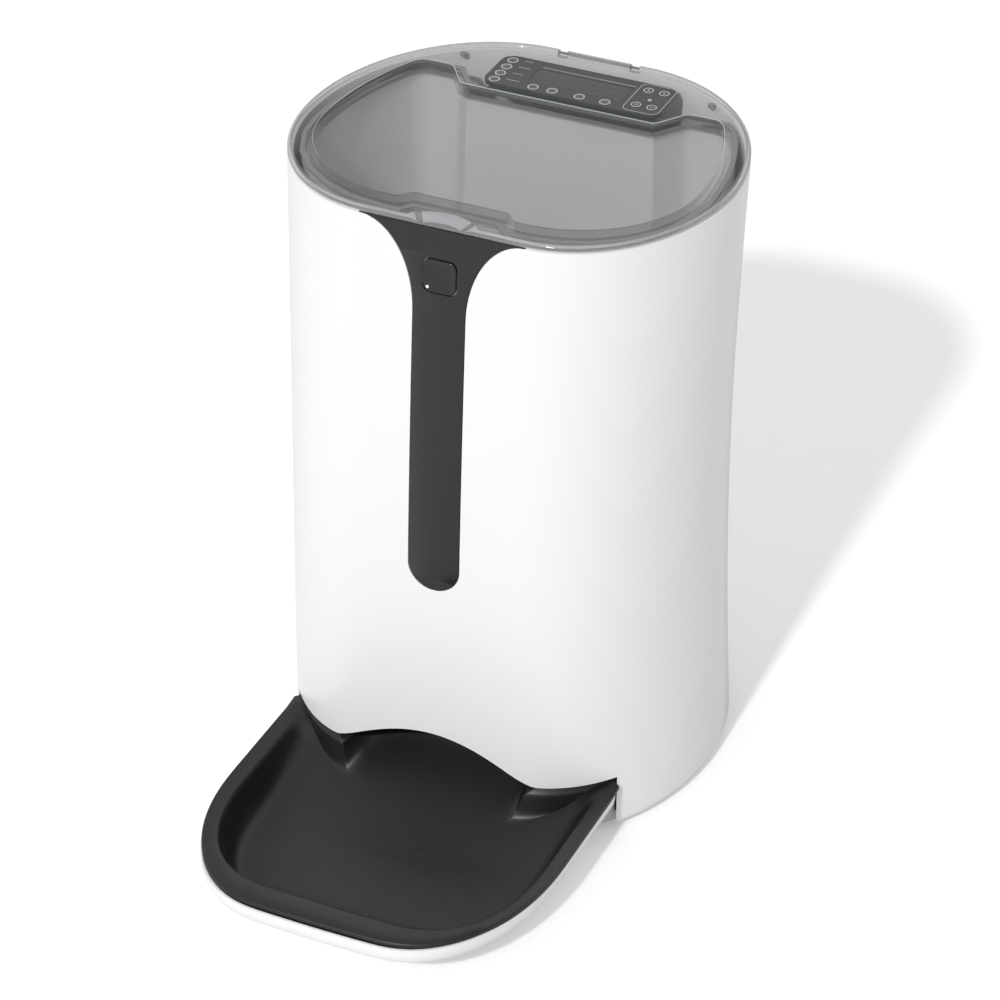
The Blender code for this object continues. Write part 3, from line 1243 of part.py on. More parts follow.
def make_rotor():
    """Soft-tipped paddle wheel that doses the food, with its shaft and bushes."""
    centre = (DRUM_Y, DRUM_HEIGHT)
    half = DRUM_HALF_WIDTH - BLADE_GAP
    rotor = axle("rotor", centre, HUB_RADIUS, -half, half, "charcoal")
    reach = DRUM_RADIUS - BLADE_GAP
    for step in range(BLADE_COUNT):
        turn = math.tau * (step + 0.5) / BLADE_COUNT
        along = Vector((math.cos(turn), math.sin(turn)))
        side = Vector((-along.y, along.x)) * BLADE_THICKNESS / 2
        start = Vector(centre) + along * HUB_RADIUS / 2
        stop = Vector(centre) + along * reach
        profile = [start - side, stop - side, stop + side, start + side]
        fuse(rotor, along_x("blade", [tuple(point) for point in profile], -half, half))
    cut(rotor, axle("bore", centre, SHAFT_RADIUS + SEAT_GAP, -half - OVERRUN, half + OVERRUN))
    set_origin(rotor, (0, *centre))
    shaft = axle("rotor_shaft", centre, SHAFT_RADIUS, SHAFT_LEFT, SHAFT_RIGHT, "steel")
    set_origin(shaft, (0, *centre))
    bushes = []
    start = DRUM_HALF_WIDTH - SEAT_GAP
    for side in (-1, 1):
        ends = sorted((side * start, side * (start + BUSH_LENGTH)))
        bush = axle("bush", centre, BUSH_RADIUS, *ends, "acetal")
        cut(bush, axle("bore", centre, SHAFT_RADIUS + SEAT_GAP, ends[0] - OVERRUN, ends[1] + OVERRUN))
        bushes.append(bush)
    number("shaft_bush", bushes)
    return rotor


def gear_profile(centre, teeth, turn):
    """Toothed outline; turn sets where the first tooth points."""
    pitch = GEAR_MODULE * teeth / 2
    step = math.tau / teeth
    points = []
    for tooth in range(teeth):
        middle = turn + tooth * step
        for radius, share in ((pitch - GEAR_MODULE * GEAR_ROOT_SHARE, -TOOTH_ROOT_SHARE),
                              (pitch, -TOOTH_PITCH_SHARE),
                              (pitch + GEAR_MODULE * GEAR_TIP_SHARE, -TOOTH_TIP_SHARE),
                              (pitch + GEAR_MODULE * GEAR_TIP_SHARE, TOOTH_TIP_SHARE),
                              (pitch, TOOTH_PITCH_SHARE),
                              (pitch - GEAR_MODULE * GEAR_ROOT_SHARE, TOOTH_ROOT_SHARE)):
            angle = middle + share * step / 2
            points.append((centre[0] + radius * math.cos(angle), centre[1] + radius * math.sin(angle)))
    return points


def make_drive():
    """Gear on the rotor's shaft, the motor's pinion, the motor, its bracket and screws."""
    centre = (DRUM_Y, DRUM_HEIGHT)
    gear = along_x("drive_gear", gear_profile(centre, GEAR_TEETH, 0), GEAR_START, GEAR_START + GEAR_FACE, "acetal")
    cut(gear, axle("bore", centre, SHAFT_RADIUS + SEAT_GAP, GEAR_START - OVERRUN, GEAR_START + GEAR_FACE + OVERRUN))
    set_origin(gear, (GEAR_START, *centre))
    motor_spot = (PINION_Y, DRUM_HEIGHT)
    turn = math.pi + math.pi / PINION_TEETH
    pinion = along_x("motor_pinion", gear_profile(motor_spot, PINION_TEETH, turn), GEAR_START,
                     GEAR_START + GEAR_FACE, "steel")
    cut(pinion, axle("bore", motor_spot, MOTOR_SHAFT_RADIUS + SEAT_GAP, GEAR_START - OVERRUN,
                     GEAR_START + GEAR_FACE + OVERRUN, sides=SMALL_SIDES))
    set_origin(pinion, (GEAR_START, *motor_spot))

    face = BRACKET_START + BRACKET_THICKNESS + SEAT_GAP
    motor = axle("gear_motor", motor_spot, MOTOR_RADIUS, face, face + MOTOR_LENGTH, "steel")
    fuse(motor, axle("cap", motor_spot, MOTOR_CAP_RADIUS, face + MOTOR_LENGTH / 2,
                     face + MOTOR_LENGTH + MOTOR_CAP_LENGTH))
    fuse(motor, axle("shaft", motor_spot, MOTOR_SHAFT_RADIUS, GEAR_START, face + MOTOR_LENGTH / 2,
                     sides=SMALL_SIDES))
    front = WIDEST_Y - OUTLET_AHEAD - DRUM_WALL
    back = WIDEST_Y + BRACKET_BACK_BEHIND
    bracket = box("motor_bracket", (BRACKET_START, front, SKIRT_BOTTOM),
                  (BRACKET_START + BRACKET_THICKNESS, back, BRACKET_TOP), "steel")
    through = (BRACKET_START - OVERRUN, BRACKET_START + BRACKET_THICKNESS + OVERRUN)
    cut(bracket, axle("shaft_hole", centre, SHAFT_RADIUS + SEAT_GAP, *through),
        axle("motor_hole", motor_spot, MOTOR_SHAFT_RADIUS + SEAT_GAP, *through, sides=SMALL_SIDES))
    screws = []
    for spot in bracket_posts():
        cut(bracket, axle("screw_hole", spot, SCREW_RADIUS + SEAT_GAP, *through, sides=SMALL_SIDES))
        start = BRACKET_START - SCREW_LENGTH / 2
        stop = BRACKET_START + BRACKET_THICKNESS + SEAT_GAP
        screw = axle("screw", spot, SCREW_RADIUS, start, stop + SCREW_HEAD_HEIGHT / 2, "steel", SMALL_SIDES)
        fuse(screw, axle("head", spot, SCREW_HEAD_RADIUS, stop, stop + SCREW_HEAD_HEIGHT, sides=SMALL_SIDES))
        screws.append(screw)
        cut(bpy.data.objects["drum_housing"],
            axle("screw_bore", spot, SCREW_RADIUS + SEAT_GAP, start - SEAT_GAP, BRACKET_START, sides=SMALL_SIDES))
    number("bracket_screw", screws)
    screws = []
    for side in (-1, 1):
        spot = (motor_spot[0], motor_spot[1] + side * MOTOR_SCREW_SPAN)
        start = BRACKET_START - SEAT_GAP - SCREW_HEAD_HEIGHT
        stop = face + SCREW_LENGTH / 4
        cut(bracket, axle("screw_hole", spot, SMALL_SCREW_RADIUS + SEAT_GAP, *through, sides=SMALL_SIDES))
        cut(motor, axle("screw_bore", spot, SMALL_SCREW_RADIUS + SEAT_GAP, face - OVERRUN, stop + SEAT_GAP,
                        sides=SMALL_SIDES))
        screw = axle("screw", spot, SMALL_SCREW_RADIUS, start, stop, "steel", SMALL_SIDES)
        fuse(screw, axle("head", spot, SMALL_SCREW_RADIUS * 2, start, start + SCREW_HEAD_HEIGHT, sides=SMALL_SIDES))
        screws.append(screw)
    number("motor_screw", screws)
    return gear


def make_chute():
    """Sloping chute from under the drum down to the bowl's ramp."""
    front = WIDEST_Y - OUTLET_AHEAD - DRUM_WALL
    nose = WIDEST_Y - RAMP_END_AHEAD + CHUTE_WALL
    back = WIDEST_Y - OUTLET_BEHIND + DRUM_WALL
    low = BASE_TOP + SEAT_GAP
    top = SKIRT_BOTTOM - SEAT_GAP
    outer = [(nose, low), (back, low), (back, top), (front, top), (nose, CHUTE_FLOOR_REAR)]
    chute = along_x("outlet_chute", outer, -CHUTE_HALF_WIDTH, CHUTE_HALF_WIDTH, "tank_grey")
    inner = CHUTE_HALF_WIDTH - CHUTE_WALL
    rear = WIDEST_Y - OUTLET_BEHIND
    over = nose - OVERRUN
    slope = (CHUTE_FLOOR_REAR - CHUTE_FLOOR_FRONT) / (rear - nose)
    channel = [(over, CHUTE_FLOOR_FRONT - slope * OVERRUN), (rear, CHUTE_FLOOR_REAR), (rear, top + OVERRUN),
               (over, top + OVERRUN)]
    cut(chute, along_x("channel", channel, -inner, inner))
    under = [(over, low - OVERRUN), (rear, low - OVERRUN), (rear, CHUTE_FLOOR_REAR - CHUTE_FLOOR),
             (over, CHUTE_FLOOR_FRONT - CHUTE_FLOOR - slope * OVERRUN)]
    cut(chute, along_x("under", under, -inner, inner))
    return chute


# Batteries and electronics

def cell_bay():
    """Plan limits of the battery box's inside."""
    half = CELL_PITCH * (CELL_COUNT - 1) / 2 + CELL_RADIUS + BOX_SIDE_GAP
    middle = WIDEST_Y + CELL_CENTRE_BEHIND
    deep = CELL_LENGTH / 2 + BOX_END_GAP
    return -half, half, middle - deep, middle + deep


def make_power():
    """Battery box with cells, contacts and door, and the main board on top of it."""
    low_x, high_x, low_y, high_y = cell_bay()
    cell_height = FOOT_LIFT + DOOR_THICKNESS + SEAT_GAP + CELL_RADIUS
    foot = BASE_TOP + SEAT_GAP
    roof = cell_height + CELL_RADIUS + BOX_TOP_GAP
    case = box("battery_box", (low_x - BOX_WALL, low_y - BOX_WALL, foot),
               (high_x + BOX_WALL, high_y + BOX_WALL, roof + BOX_WALL), "tank_grey")
    cut(case, box("bay", (low_x, low_y, foot - OVERRUN), (high_x, high_y, roof)))
    board_low = roof + BOX_WALL + MAIN_BOARD_POST
    middle_y = (low_y + high_y) / 2
    for side in (-1, 1):
        for along in (-1, 1):
            spot = (side * (MAIN_BOARD_HALF - MAIN_BOARD_POST), middle_y + along * (MAIN_BOARD_HALF_DEPTH - MAIN_BOARD_POST))
            fuse(case, disc("post", spot, BOARD_POST_RADIUS, roof + BOX_WALL / 2, board_low - SEAT_GAP))
    board = box("main_board", (-MAIN_BOARD_HALF, middle_y - MAIN_BOARD_HALF_DEPTH, board_low),
                (MAIN_BOARD_HALF, middle_y + MAIN_BOARD_HALF_DEPTH, board_low + BOARD_THICKNESS), "board_green")
    half = CHIP_SIZE / 2
    for x in (-CHIP_SIZE, CHIP_SIZE):
        fuse(board, box("chip", (x - half, middle_y - half, board_low + BOARD_THICKNESS / 2),
                        (x + half, middle_y + half, board_low + BOARD_THICKNESS + CHIP_HEIGHT)))
    cells = []
    contacts = []
    front = middle_y - CELL_LENGTH / 2
    for place in range(CELL_COUNT):
        x = (place - (CELL_COUNT - 1) / 2) * CELL_PITCH
        profile = circle(CELL_RADIUS, ROUND_SIDES, (x, cell_height))
        cells.append(along_y("cell", profile, front, front + CELL_LENGTH, "cell_wrap"))
    number("battery", cells)
    half = CONTACT_SIZE / 2
    reach = CELL_PITCH * (CELL_COUNT - 1) / 2 + half
    for start in (low_y + SEAT_GAP, high_y - SEAT_GAP - CONTACT_THICKNESS):
        contacts.append(box("contact", (-reach, start, cell_height - half),
                            (reach, start + CONTACT_THICKNESS, cell_height + half), "steel"))
    number("contact_strip", contacts)
    edge = DOOR_MARGIN
    door = box("battery_door", (low_x - edge, low_y - edge, FOOT_LIFT),
               (high_x + edge, high_y + edge, FOOT_LIFT + DOOR_THICKNESS))
    set_origin(door, (0, middle_y, FOOT_LIFT))
    return case


def make_speaker():
    """Small speaker over the grille in the base plate."""
    spot = (SPEAKER_X, WIDEST_Y - SPEAKER_AHEAD)
    foot = BASE_TOP + SEAT_GAP
    speaker = disc("speaker", spot, SPEAKER_RADIUS, foot, foot + SPEAKER_HEIGHT, "rubber_black", ROUND_SIDES)
    return fuse(speaker, disc("magnet", spot, SPEAKER_MAGNET_RADIUS, foot + SPEAKER_HEIGHT / 2,
                              foot + SPEAKER_HEIGHT + SPEAKER_MAGNET_HEIGHT))


def make_jack():
    """Power inlet behind the back wall."""
    foot = BASE_TOP + SEAT_GAP
    centre = foot + JACK_HEIGHT / 2
    wall = max(y for x, y in body_outline(foot + JACK_HEIGHT, BODY_WALL)) - JACK_WALL_GAP
    jack = box("dc_jack", (-JACK_HALF_WIDTH, wall - JACK_DEPTH, foot), (JACK_HALF_WIDTH, wall, foot + JACK_HEIGHT),
               "rubber_black")
    bore = circle(JACK_HOLE_RADIUS - SEAT_GAP, ROUND_SIDES, (0, centre))
    cut(jack, along_y("bore", bore, wall - JACK_BORE_DEPTH, wall + OVERRUN))
    pin = circle(JACK_PIN_RADIUS, SMALL_SIDES, (0, centre))
    return fuse(jack, along_y("pin", pin, wall - JACK_DEPTH / 2 - JACK_BORE_DEPTH / 2, wall - JACK_BORE_DEPTH / 4))


def clear_scene():
    """Remove every object the file starts with."""
    for thing in list(bpy.data.objects):
        bpy.data.objects.remove(thing)


clear_scene()
make_outer_shell()
make_base_plate()
make_base_feet()
make_base_screws()
make_tray()
make_top_deck()
make_hinge_pin()
make_lid()
make_lid_seal()
make_lid_pads()
make_panel()
make_front_pieces()
make_hopper()
make_drum_housing()
make_rotor()
make_drive()
make_chute()
make_power()
make_speaker()
make_jack()
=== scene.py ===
import json
import math

import bmesh
import bpy
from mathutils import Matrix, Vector


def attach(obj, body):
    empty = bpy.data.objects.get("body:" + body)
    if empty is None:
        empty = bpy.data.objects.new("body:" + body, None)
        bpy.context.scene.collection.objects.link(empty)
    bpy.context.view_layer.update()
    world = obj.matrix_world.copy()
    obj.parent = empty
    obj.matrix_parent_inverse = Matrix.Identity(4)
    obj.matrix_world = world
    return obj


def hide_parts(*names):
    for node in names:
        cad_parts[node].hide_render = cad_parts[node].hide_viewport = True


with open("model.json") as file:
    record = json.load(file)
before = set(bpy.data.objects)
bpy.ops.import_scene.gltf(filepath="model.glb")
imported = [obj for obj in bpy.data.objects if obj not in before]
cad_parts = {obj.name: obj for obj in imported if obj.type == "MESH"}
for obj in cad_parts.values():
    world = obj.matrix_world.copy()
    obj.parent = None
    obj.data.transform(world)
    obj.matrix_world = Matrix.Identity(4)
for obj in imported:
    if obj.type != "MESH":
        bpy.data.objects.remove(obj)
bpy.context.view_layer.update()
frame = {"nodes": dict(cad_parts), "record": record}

MM = 0.001

# Camera at the photograph's viewing angle: high in front and to the right,
# with a long lens, looking down at the lid and the bowl.
camera_data = bpy.data.cameras.new("photo_camera")
camera_data.lens = 140.4
camera_data.sensor_width = 36
camera_data.clip_end = 50
camera = bpy.data.objects.new("photo_camera", camera_data)
bpy.context.scene.collection.objects.link(camera)
camera.location = (0.58005, -1.22541, 1.03923)
camera.rotation_mode = "QUATERNION"
camera.rotation_quaternion = Vector((0.347777, -0.758884, 0.550587)).to_track_quat("Z", "Y")
bpy.context.scene.camera = camera
bpy.context.scene.view_settings.view_transform = "Standard"


# Plain white studio: a pale floor, an even white surround, and one soft key lamp
# high in front that throws the pale shadow behind the feeder.
def studio_world():
    world = bpy.data.worlds.new("studio")
    world.use_nodes = True
    nodes, links = world.node_tree.nodes, world.node_tree.links
    nodes.clear()
    output = nodes.new("ShaderNodeOutputWorld")
    seen = nodes.new("ShaderNodeBackground")
    seen.inputs["Strength"].default_value = 1.0
    seen.inputs["Color"].default_value = (1, 1, 1, 1)
    lit = nodes.new("ShaderNodeBackground")
    lit.inputs["Color"].default_value = (1, 1, 1, 1)
    facing = nodes.new("ShaderNodeTexCoord")
    side = nodes.new("ShaderNodeVectorMath")
    side.operation = "DOT_PRODUCT"
    side.inputs[1].default_value = (0.909, 0.417, 0)
    fall = nodes.new("ShaderNodeMapRange")
    fall.inputs["From Min"].default_value = -0.6
    fall.inputs["From Max"].default_value = 0.9
    fall.inputs["To Min"].default_value = 0.80
    fall.inputs["To Max"].default_value = 0.38
    links.new(facing.outputs["Generated"], side.inputs[0])
    links.new(side.outputs["Value"], fall.inputs["Value"])
    links.new(fall.outputs["Result"], lit.inputs["Strength"])
    rays = nodes.new("ShaderNodeLightPath")
    seen_direct = nodes.new("ShaderNodeMath")
    seen_direct.operation = "MAXIMUM"
    links.new(rays.outputs["Is Camera Ray"], seen_direct.inputs[0])
    links.new(rays.outputs["Is Transmission Ray"], seen_direct.inputs[1])
    mix = nodes.new("ShaderNodeMixShader")
    links.new(seen_direct.outputs[0], mix.inputs[0])
    links.new(lit.outputs[0], mix.inputs[1])
    links.new(seen.outputs[0], mix.inputs[2])
    links.new(mix.outputs[0], output.inputs["Surface"])
    bpy.context.scene.world = world


def studio_floor():
    mesh = bpy.data.meshes.new("studio_floor")
    reach, level_z = 6, -0.4 * MM
    corners = [(-reach, -reach, level_z), (reach, -reach, level_z), (reach, reach, level_z),
               (-reach, reach, level_z)]
    mesh.from_pydata(corners, [], [(0, 1, 2, 3)])
    floor = bpy.data.objects.new("studio_floor", mesh)
    bpy.context.scene.collection.objects.link(floor)
    paint = bpy.data.materials.new("studio_floor")
    paint.use_nodes = True
    nodes, links = paint.node_tree.nodes, paint.node_tree.links
    shader = nodes["Principled BSDF"]
    shader.inputs["Base Color"].default_value = (0.88, 0.88, 0.88, 1)
    shader.inputs["Roughness"].default_value = 0.9
    shader.inputs["Specular IOR Level"].default_value = 0.1
    glow = nodes.new("ShaderNodeEmission")
    glow.inputs["Color"].default_value = (1, 1, 1, 1)
    rays = nodes.new("ShaderNodeLightPath")
    glow_level = nodes.new("ShaderNodeMath")
    glow_level.operation = "MULTIPLY"
    glow_level.inputs[1].default_value = 0.24
    links.new(rays.outputs["Is Camera Ray"], glow_level.inputs[0])
    links.new(glow_level.outputs[0], glow.inputs["Strength"])
    both = nodes.new("ShaderNodeAddShader")
    links.new(shader.outputs[0], both.inputs[0])
    links.new(glow.outputs[0], both.inputs[1])
    links.new(both.outputs[0], nodes["Material Output"].inputs["Surface"])
    mesh.materials.append(paint)


studio_world()
studio_floor()
key_data = bpy.data.lights.new("key_lamp", "SUN")
key_data.energy = 1.68
key_data.angle = math.radians(3.5)
key_lamp = bpy.data.objects.new("key_lamp", key_data)
bpy.context.scene.collection.objects.link(key_lamp)
key_lamp.rotation_mode = "QUATERNION"
key_lamp.rotation_quaternion = Vector((0.004, -0.353, 0.286)).to_track_quat("Z", "Y")


# Outer body: one tall injection-moulded shell in white gloss plastic, waisted at the back
# and leaning forward at the front, with a wave cut over the tray and a pocket for the trim.
def plastic(name, colour, roughness, grain=0.02, scale=900, coat=0.0, alpha=1.0, tint=0.03):
    """Moulded plastic with a fine moulded grain and a slight variation of tone."""
    made = bpy.data.materials.new(name)
    made.use_nodes = True
    nodes, links = made.node_tree.nodes, made.node_tree.links
    shader = nodes["Principled BSDF"]
    place = nodes.new("ShaderNodeTexCoord")
    cloud = nodes.new("ShaderNodeTexNoise")
    cloud.inputs["Scale"].default_value = 9
    cloud.inputs["Detail"].default_value = 3
    tone = nodes.new("ShaderNodeValToRGB")
    tone.color_ramp.elements[0].color = (*[c * (1 - tint) for c in colour], 1)
    tone.color_ramp.elements[1].color = (*[min(1, c * (1 + tint)) for c in colour], 1)
    tone.color_ramp.elements[0].position = 0.35
    tone.color_ramp.elements[1].position = 0.65
    speck = nodes.new("ShaderNodeTexNoise")
    speck.inputs["Scale"].default_value = scale
    speck.inputs["Detail"].default_value = 2
    gloss = nodes.new("ShaderNodeMapRange")
    gloss.inputs["To Min"].default_value = roughness * 0.9
    gloss.inputs["To Max"].default_value = min(1, roughness * 1.12)
    bump = nodes.new("ShaderNodeBump")
    bump.inputs["Strength"].default_value = grain
    bump.inputs["Distance"].default_value = 0.0002
    links.new(place.outputs["Object"], cloud.inputs["Vector"])
    links.new(place.outputs["Object"], speck.inputs["Vector"])
    links.new(cloud.outputs["Fac"], tone.inputs["Fac"])
    links.new(tone.outputs["Color"], shader.inputs["Base Color"])
    links.new(cloud.outputs["Fac"], gloss.inputs["Value"])
    links.new(gloss.outputs["Result"], shader.inputs["Roughness"])
    links.new(speck.outputs["Fac"], bump.inputs["Height"])
    links.new(bump.outputs["Normal"], shader.inputs["Normal"])
    if coat:
        shader.inputs["Coat Weight"].default_value = coat
        shader.inputs["Coat Roughness"].default_value = 0.08
    shader.inputs["Alpha"].default_value = alpha
    return made


def mesh_piece(name, points, faces, finish, angle=32):
    """New object, faces pointing out, shaded smooth except at real edges."""
    mesh = bpy.data.meshes.new(name)
    mesh.from_pydata([tuple(p) for p in points], [], faces)
    work = bmesh.new()
    work.from_mesh(mesh)
    bmesh.ops.recalc_face_normals(work, faces=work.faces)
    work.to_mesh(mesh)
    work.free()
    mesh.shade_smooth()
    mesh.set_sharp_from_angle(angle=math.radians(angle))
    mesh.materials.append(finish)
    made = bpy.data.objects.new(name, mesh)
    bpy.context.scene.collection.objects.link(made)
    return made


def skin(name, rings, finish, closed=False, angle=32):
    """Body through rings of points; closed joins the last ring to the first."""
    count = len(rings[0])
    points = [p for ring in rings for p in ring]
    faces = []
    for row in range(len(rings) if closed else len(rings) - 1):
        low, high = row * count, ((row + 1) % len(rings)) * count
        for step in range(count):
            after = (step + 1) % count
            faces.append((low + step, low + after, high + after, high + step))
    if not closed:
        faces.append(tuple(range(count))[::-1])
        faces.append(tuple((len(rings) - 1) * count + step for step in range(count)))
    return mesh_piece(name, points, faces, finish, angle)


def level(outline, height):
    return [(x, y, height) for x, y in outline]


def ellipse_arc(centre, across, along, start, stop, steps, power=2):
    points = []
    for step in range(steps + 1):
        turn = math.radians(start + (stop - start) * step / steps)
        side, ahead = math.cos(turn), math.sin(turn)
        points.append((centre[0] + across * math.copysign(abs(side) ** (2 / power), side),
                       centre[1] + along * math.copysign(abs(ahead) ** (2 / power), ahead)))
    return points


def mirrored(half):
    return half + [(-x, y) for x, y in reversed(half)]


def offset_outline(outline, distance):
    moved = []
    count = len(outline)
    for step, (x, y) in enumerate(outline):
        before, after = outline[step - 1], outline[(step + 1) % count]
        first = Vector((y - before[1], before[0] - x)).normalized()
        second = Vector((after[1] - y, x - after[0])).normalized()
        mitre = (first + second) / (1 + first.dot(second))
        moved.append((x + mitre.x * distance, y + mitre.y * distance))
    return moved


def carve(target, tool, operation="DIFFERENCE", angle=32):
    """Applies a Boolean and keeps the target's finishes."""
    step = target.modifiers.new("carve", "BOOLEAN")
    step.operation = operation
    step.object = tool
    result = bpy.data.meshes.new_from_object(target.evaluated_get(bpy.context.evaluated_depsgraph_get()))
    target.modifiers.remove(step)
    keep = list(target.data.materials)
    target.data = result
    result.materials.clear()
    for finish in keep:
        result.materials.append(finish)
    bpy.data.objects.remove(tool)
    result.shade_smooth()
    result.set_sharp_from_angle(angle=math.radians(angle))
    return target


BODY_TOP, BODY_FOOT, WIDEST_Y = 281.7 * MM, 1.2 * MM, 57.5 * MM
HALF_WIDTH, FRONT_FLAT, BACK_FLAT = 95 * MM, 35 * MM, 22 * MM
FRONT_REACH, FRONT_LEAN, BACK_REACH = 73 * MM, 13.5 * MM, 86 * MM
WAIST_SIDE, WAIST_SHIFT, WAIST_BACK = 2 * MM, 4 * MM, 10 * MM
WAVE_LEVEL, WAVE_HALF, ARCH_HALF = 28.2 * MM, 75.8 * MM, 47 * MM
TRIM_HALF, TRIM_FLARE, TRIM_LENGTH = 11.5 * MM, 37.6 * MM, 165.7 * MM


def drop_share(height):
    return (BODY_TOP - height) / (BODY_TOP - BODY_FOOT)


def front_face(height):
    return WIDEST_Y - FRONT_REACH - FRONT_LEAN * math.sin(math.pi / 2 * max(0, drop_share(height)))


def body_outline(height, inset=0, steps=26):
    waist = math.sin(math.pi * min(1, max(0, drop_share(height))))
    half_width = HALF_WIDTH - WAIST_SIDE * waist
    middle = WIDEST_Y - WAIST_SHIFT * waist
    front = middle - front_face(height)
    back = WIDEST_Y + BACK_REACH - WAIST_BACK * waist - middle
    half = ellipse_arc((FRONT_FLAT, middle), half_width - FRONT_FLAT, front, -90, 0, steps)
    half += ellipse_arc((BACK_FLAT, middle), half_width - BACK_FLAT, back, 0, 90, steps)[1:]
    outline = mirrored(half)
    return offset_outline(outline, -inset) if inset else outline


def body_front_at(x, height, inset=0):
    waist = math.sin(math.pi * drop_share(height))
    middle = WIDEST_Y - WAIST_SHIFT * waist
    across = HALF_WIDTH - WAIST_SIDE * waist - FRONT_FLAT - inset
    along = middle - front_face(height) - inset
    share = min(1, max(0, (abs(x) - FRONT_FLAT) / across))
    return middle - along * math.sqrt(1 - share * share)


def wave_height(x):
    share = min(1, abs(x) / ARCH_HALF)
    return WAVE_LEVEL + 15 * MM * (1 - share * share) ** 1.3


def trim_half_width(drop):
    """Half-width of the dark trim below the body's top: a flare, a stem and a round end."""
    if drop < TRIM_FLARE:
        share = 1 - drop / TRIM_FLARE
        return TRIM_HALF + 24.8 * MM * (1 - math.sqrt(max(0, 1 - share * share)))
    left = TRIM_LENGTH - drop
    if left < TRIM_HALF:
        return math.sqrt(max(0, TRIM_HALF ** 2 - (TRIM_HALF - left) ** 2))
    return TRIM_HALF


def trim_drops():
    stem = TRIM_LENGTH - TRIM_HALF - TRIM_FLARE
    drops = [TRIM_FLARE * (1 - math.cos(math.pi / 2 * step / 22)) for step in range(22)]
    drops += [TRIM_FLARE + stem * step / 16 for step in range(17)]
    drops += [TRIM_LENGTH - TRIM_HALF * (1 - math.sin(math.pi / 2 * step / 14)) for step in range(1, 14)]
    return drops


def trim_solid(name, grow, outward, depth, finish, edge=0.0):
    """Sheet that follows the body's front; edge rounds its rim."""
    rings = []
    for drop in ([-2 * MM] if grow else []) + trim_drops():
        half = trim_half_width(max(0, drop)) + grow
        front, back = front_face(BODY_TOP - drop) - outward, front_face(BODY_TOP - drop) + depth
        z = BODY_TOP - drop
        rings.append([(-half, front + edge, z), (-half + edge, front, z), (0, front, z),
                      (half - edge, front, z), (half, front + edge, z), (half, back, z), (-half, back, z)])
    return skin(name, rings, finish, angle=50)


white_gloss = plastic("white_gloss_shell", (0.84, 0.84, 0.845), 0.3, grain=0.012, scale=700, coat=0.1,
                      tint=0.006)
fillet, wall, top_edge, lip_height = 5 * MM, 2.6 * MM, 0.3 * MM, 3 * MM
rings = [level(body_outline(BODY_TOP, 0.35 * MM), BODY_TOP)]
for step in range(31):
    height = BODY_TOP - top_edge + (BODY_FOOT + fillet - BODY_TOP + top_edge) * step / 30
    rings.append(level(body_outline(height), height))
for step in range(1, 9):
    turn = math.pi / 2 * step / 8
    rings.append(level(body_outline(BODY_FOOT + fillet, fillet * (1 - math.cos(turn))),
                       BODY_FOOT + fillet * (1 - math.sin(turn))))
lip = fillet + 1.5 * MM
rings.append(level(body_outline(BODY_FOOT + fillet, lip), BODY_FOOT))
rings.append(level(body_outline(BODY_FOOT + fillet, lip), BODY_FOOT + lip_height))
for step in range(9):
    height = BODY_FOOT + fillet + lip_height + (BODY_TOP - BODY_FOOT - fillet - lip_height) * step / 8
    rings.append(level(body_outline(height, wall), height))
body_shell = skin("body_shell", rings, white_gloss, closed=True, angle=40)
wave = [(-WAVE_HALF, -5 * MM), (WAVE_HALF, -5 * MM)]
wave += [(x, wave_height(x)) for x in [WAVE_HALF * (1 - 2 * step / 60) for step in range(61)]]
wave_tool = skin("wave_tool", [[(x, y, z) for x, z in wave] for y in (-60 * MM, -0.8 * MM)], white_gloss)
carve(body_shell, wave_tool, angle=40)
pocket = trim_solid("trim_pocket", 0.3 * MM, 3 * MM, 1.6 * MM, white_gloss, edge=0.2 * MM)
carve(body_shell, pocket, angle=40)
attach(body_shell, "feeder")
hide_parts("outer_shell")


# Front trim: a dark T-shaped strip let flush into the body's front, with a square button
# well near its top. Injection moulded in charcoal plastic with a soft sheen.
charcoal = plastic("charcoal_trim", (0.015, 0.015, 0.016), 0.34, grain=0.03, scale=1400, tint=0.05)
front_trim = trim_solid("front_strip", 0, 0.0, 1.2 * MM, charcoal, edge=0.25 * MM)


BUTTON_Z, BUTTON_HALF = 261.2 * MM, 3.575 * MM


def button_frame():
    """The button's centre, and the directions up and out of the leaning front there."""
    rise = front_face(BUTTON_Z + BUTTON_HALF) - front_face(BUTTON_Z - BUTTON_HALF)
    up = Vector((0, rise, 2 * BUTTON_HALF)).normalized()
    return Vector((0, front_face(BUTTON_Z), BUTTON_Z)), up, Vector((0, -up.z, up.y))


def on_button(outline, distance):
    centre, up, out = button_frame()
    return [tuple(centre + Vector((x, 0, 0)) + up * rise + out * distance) for x, rise in outline]


def square_outline(size, corner, steps=8):
    half = size / 2 - corner
    points = []
    for side, along, start in ((1, -1, -90), (1, 1, 0), (-1, 1, 90), (-1, -1, 180)):
        points += ellipse_arc((side * half, along * half), corner, corner, start, start + 90, steps)
    return points


well_square = square_outline(15.5 * MM, 3.6 * MM)
well = skin("button_well", [on_button(well_square, -3 * MM), on_button(well_square, 3 * MM)], charcoal)
carve(front_trim, well, angle=50)
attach(front_trim, "feeder")
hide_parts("front_trim")


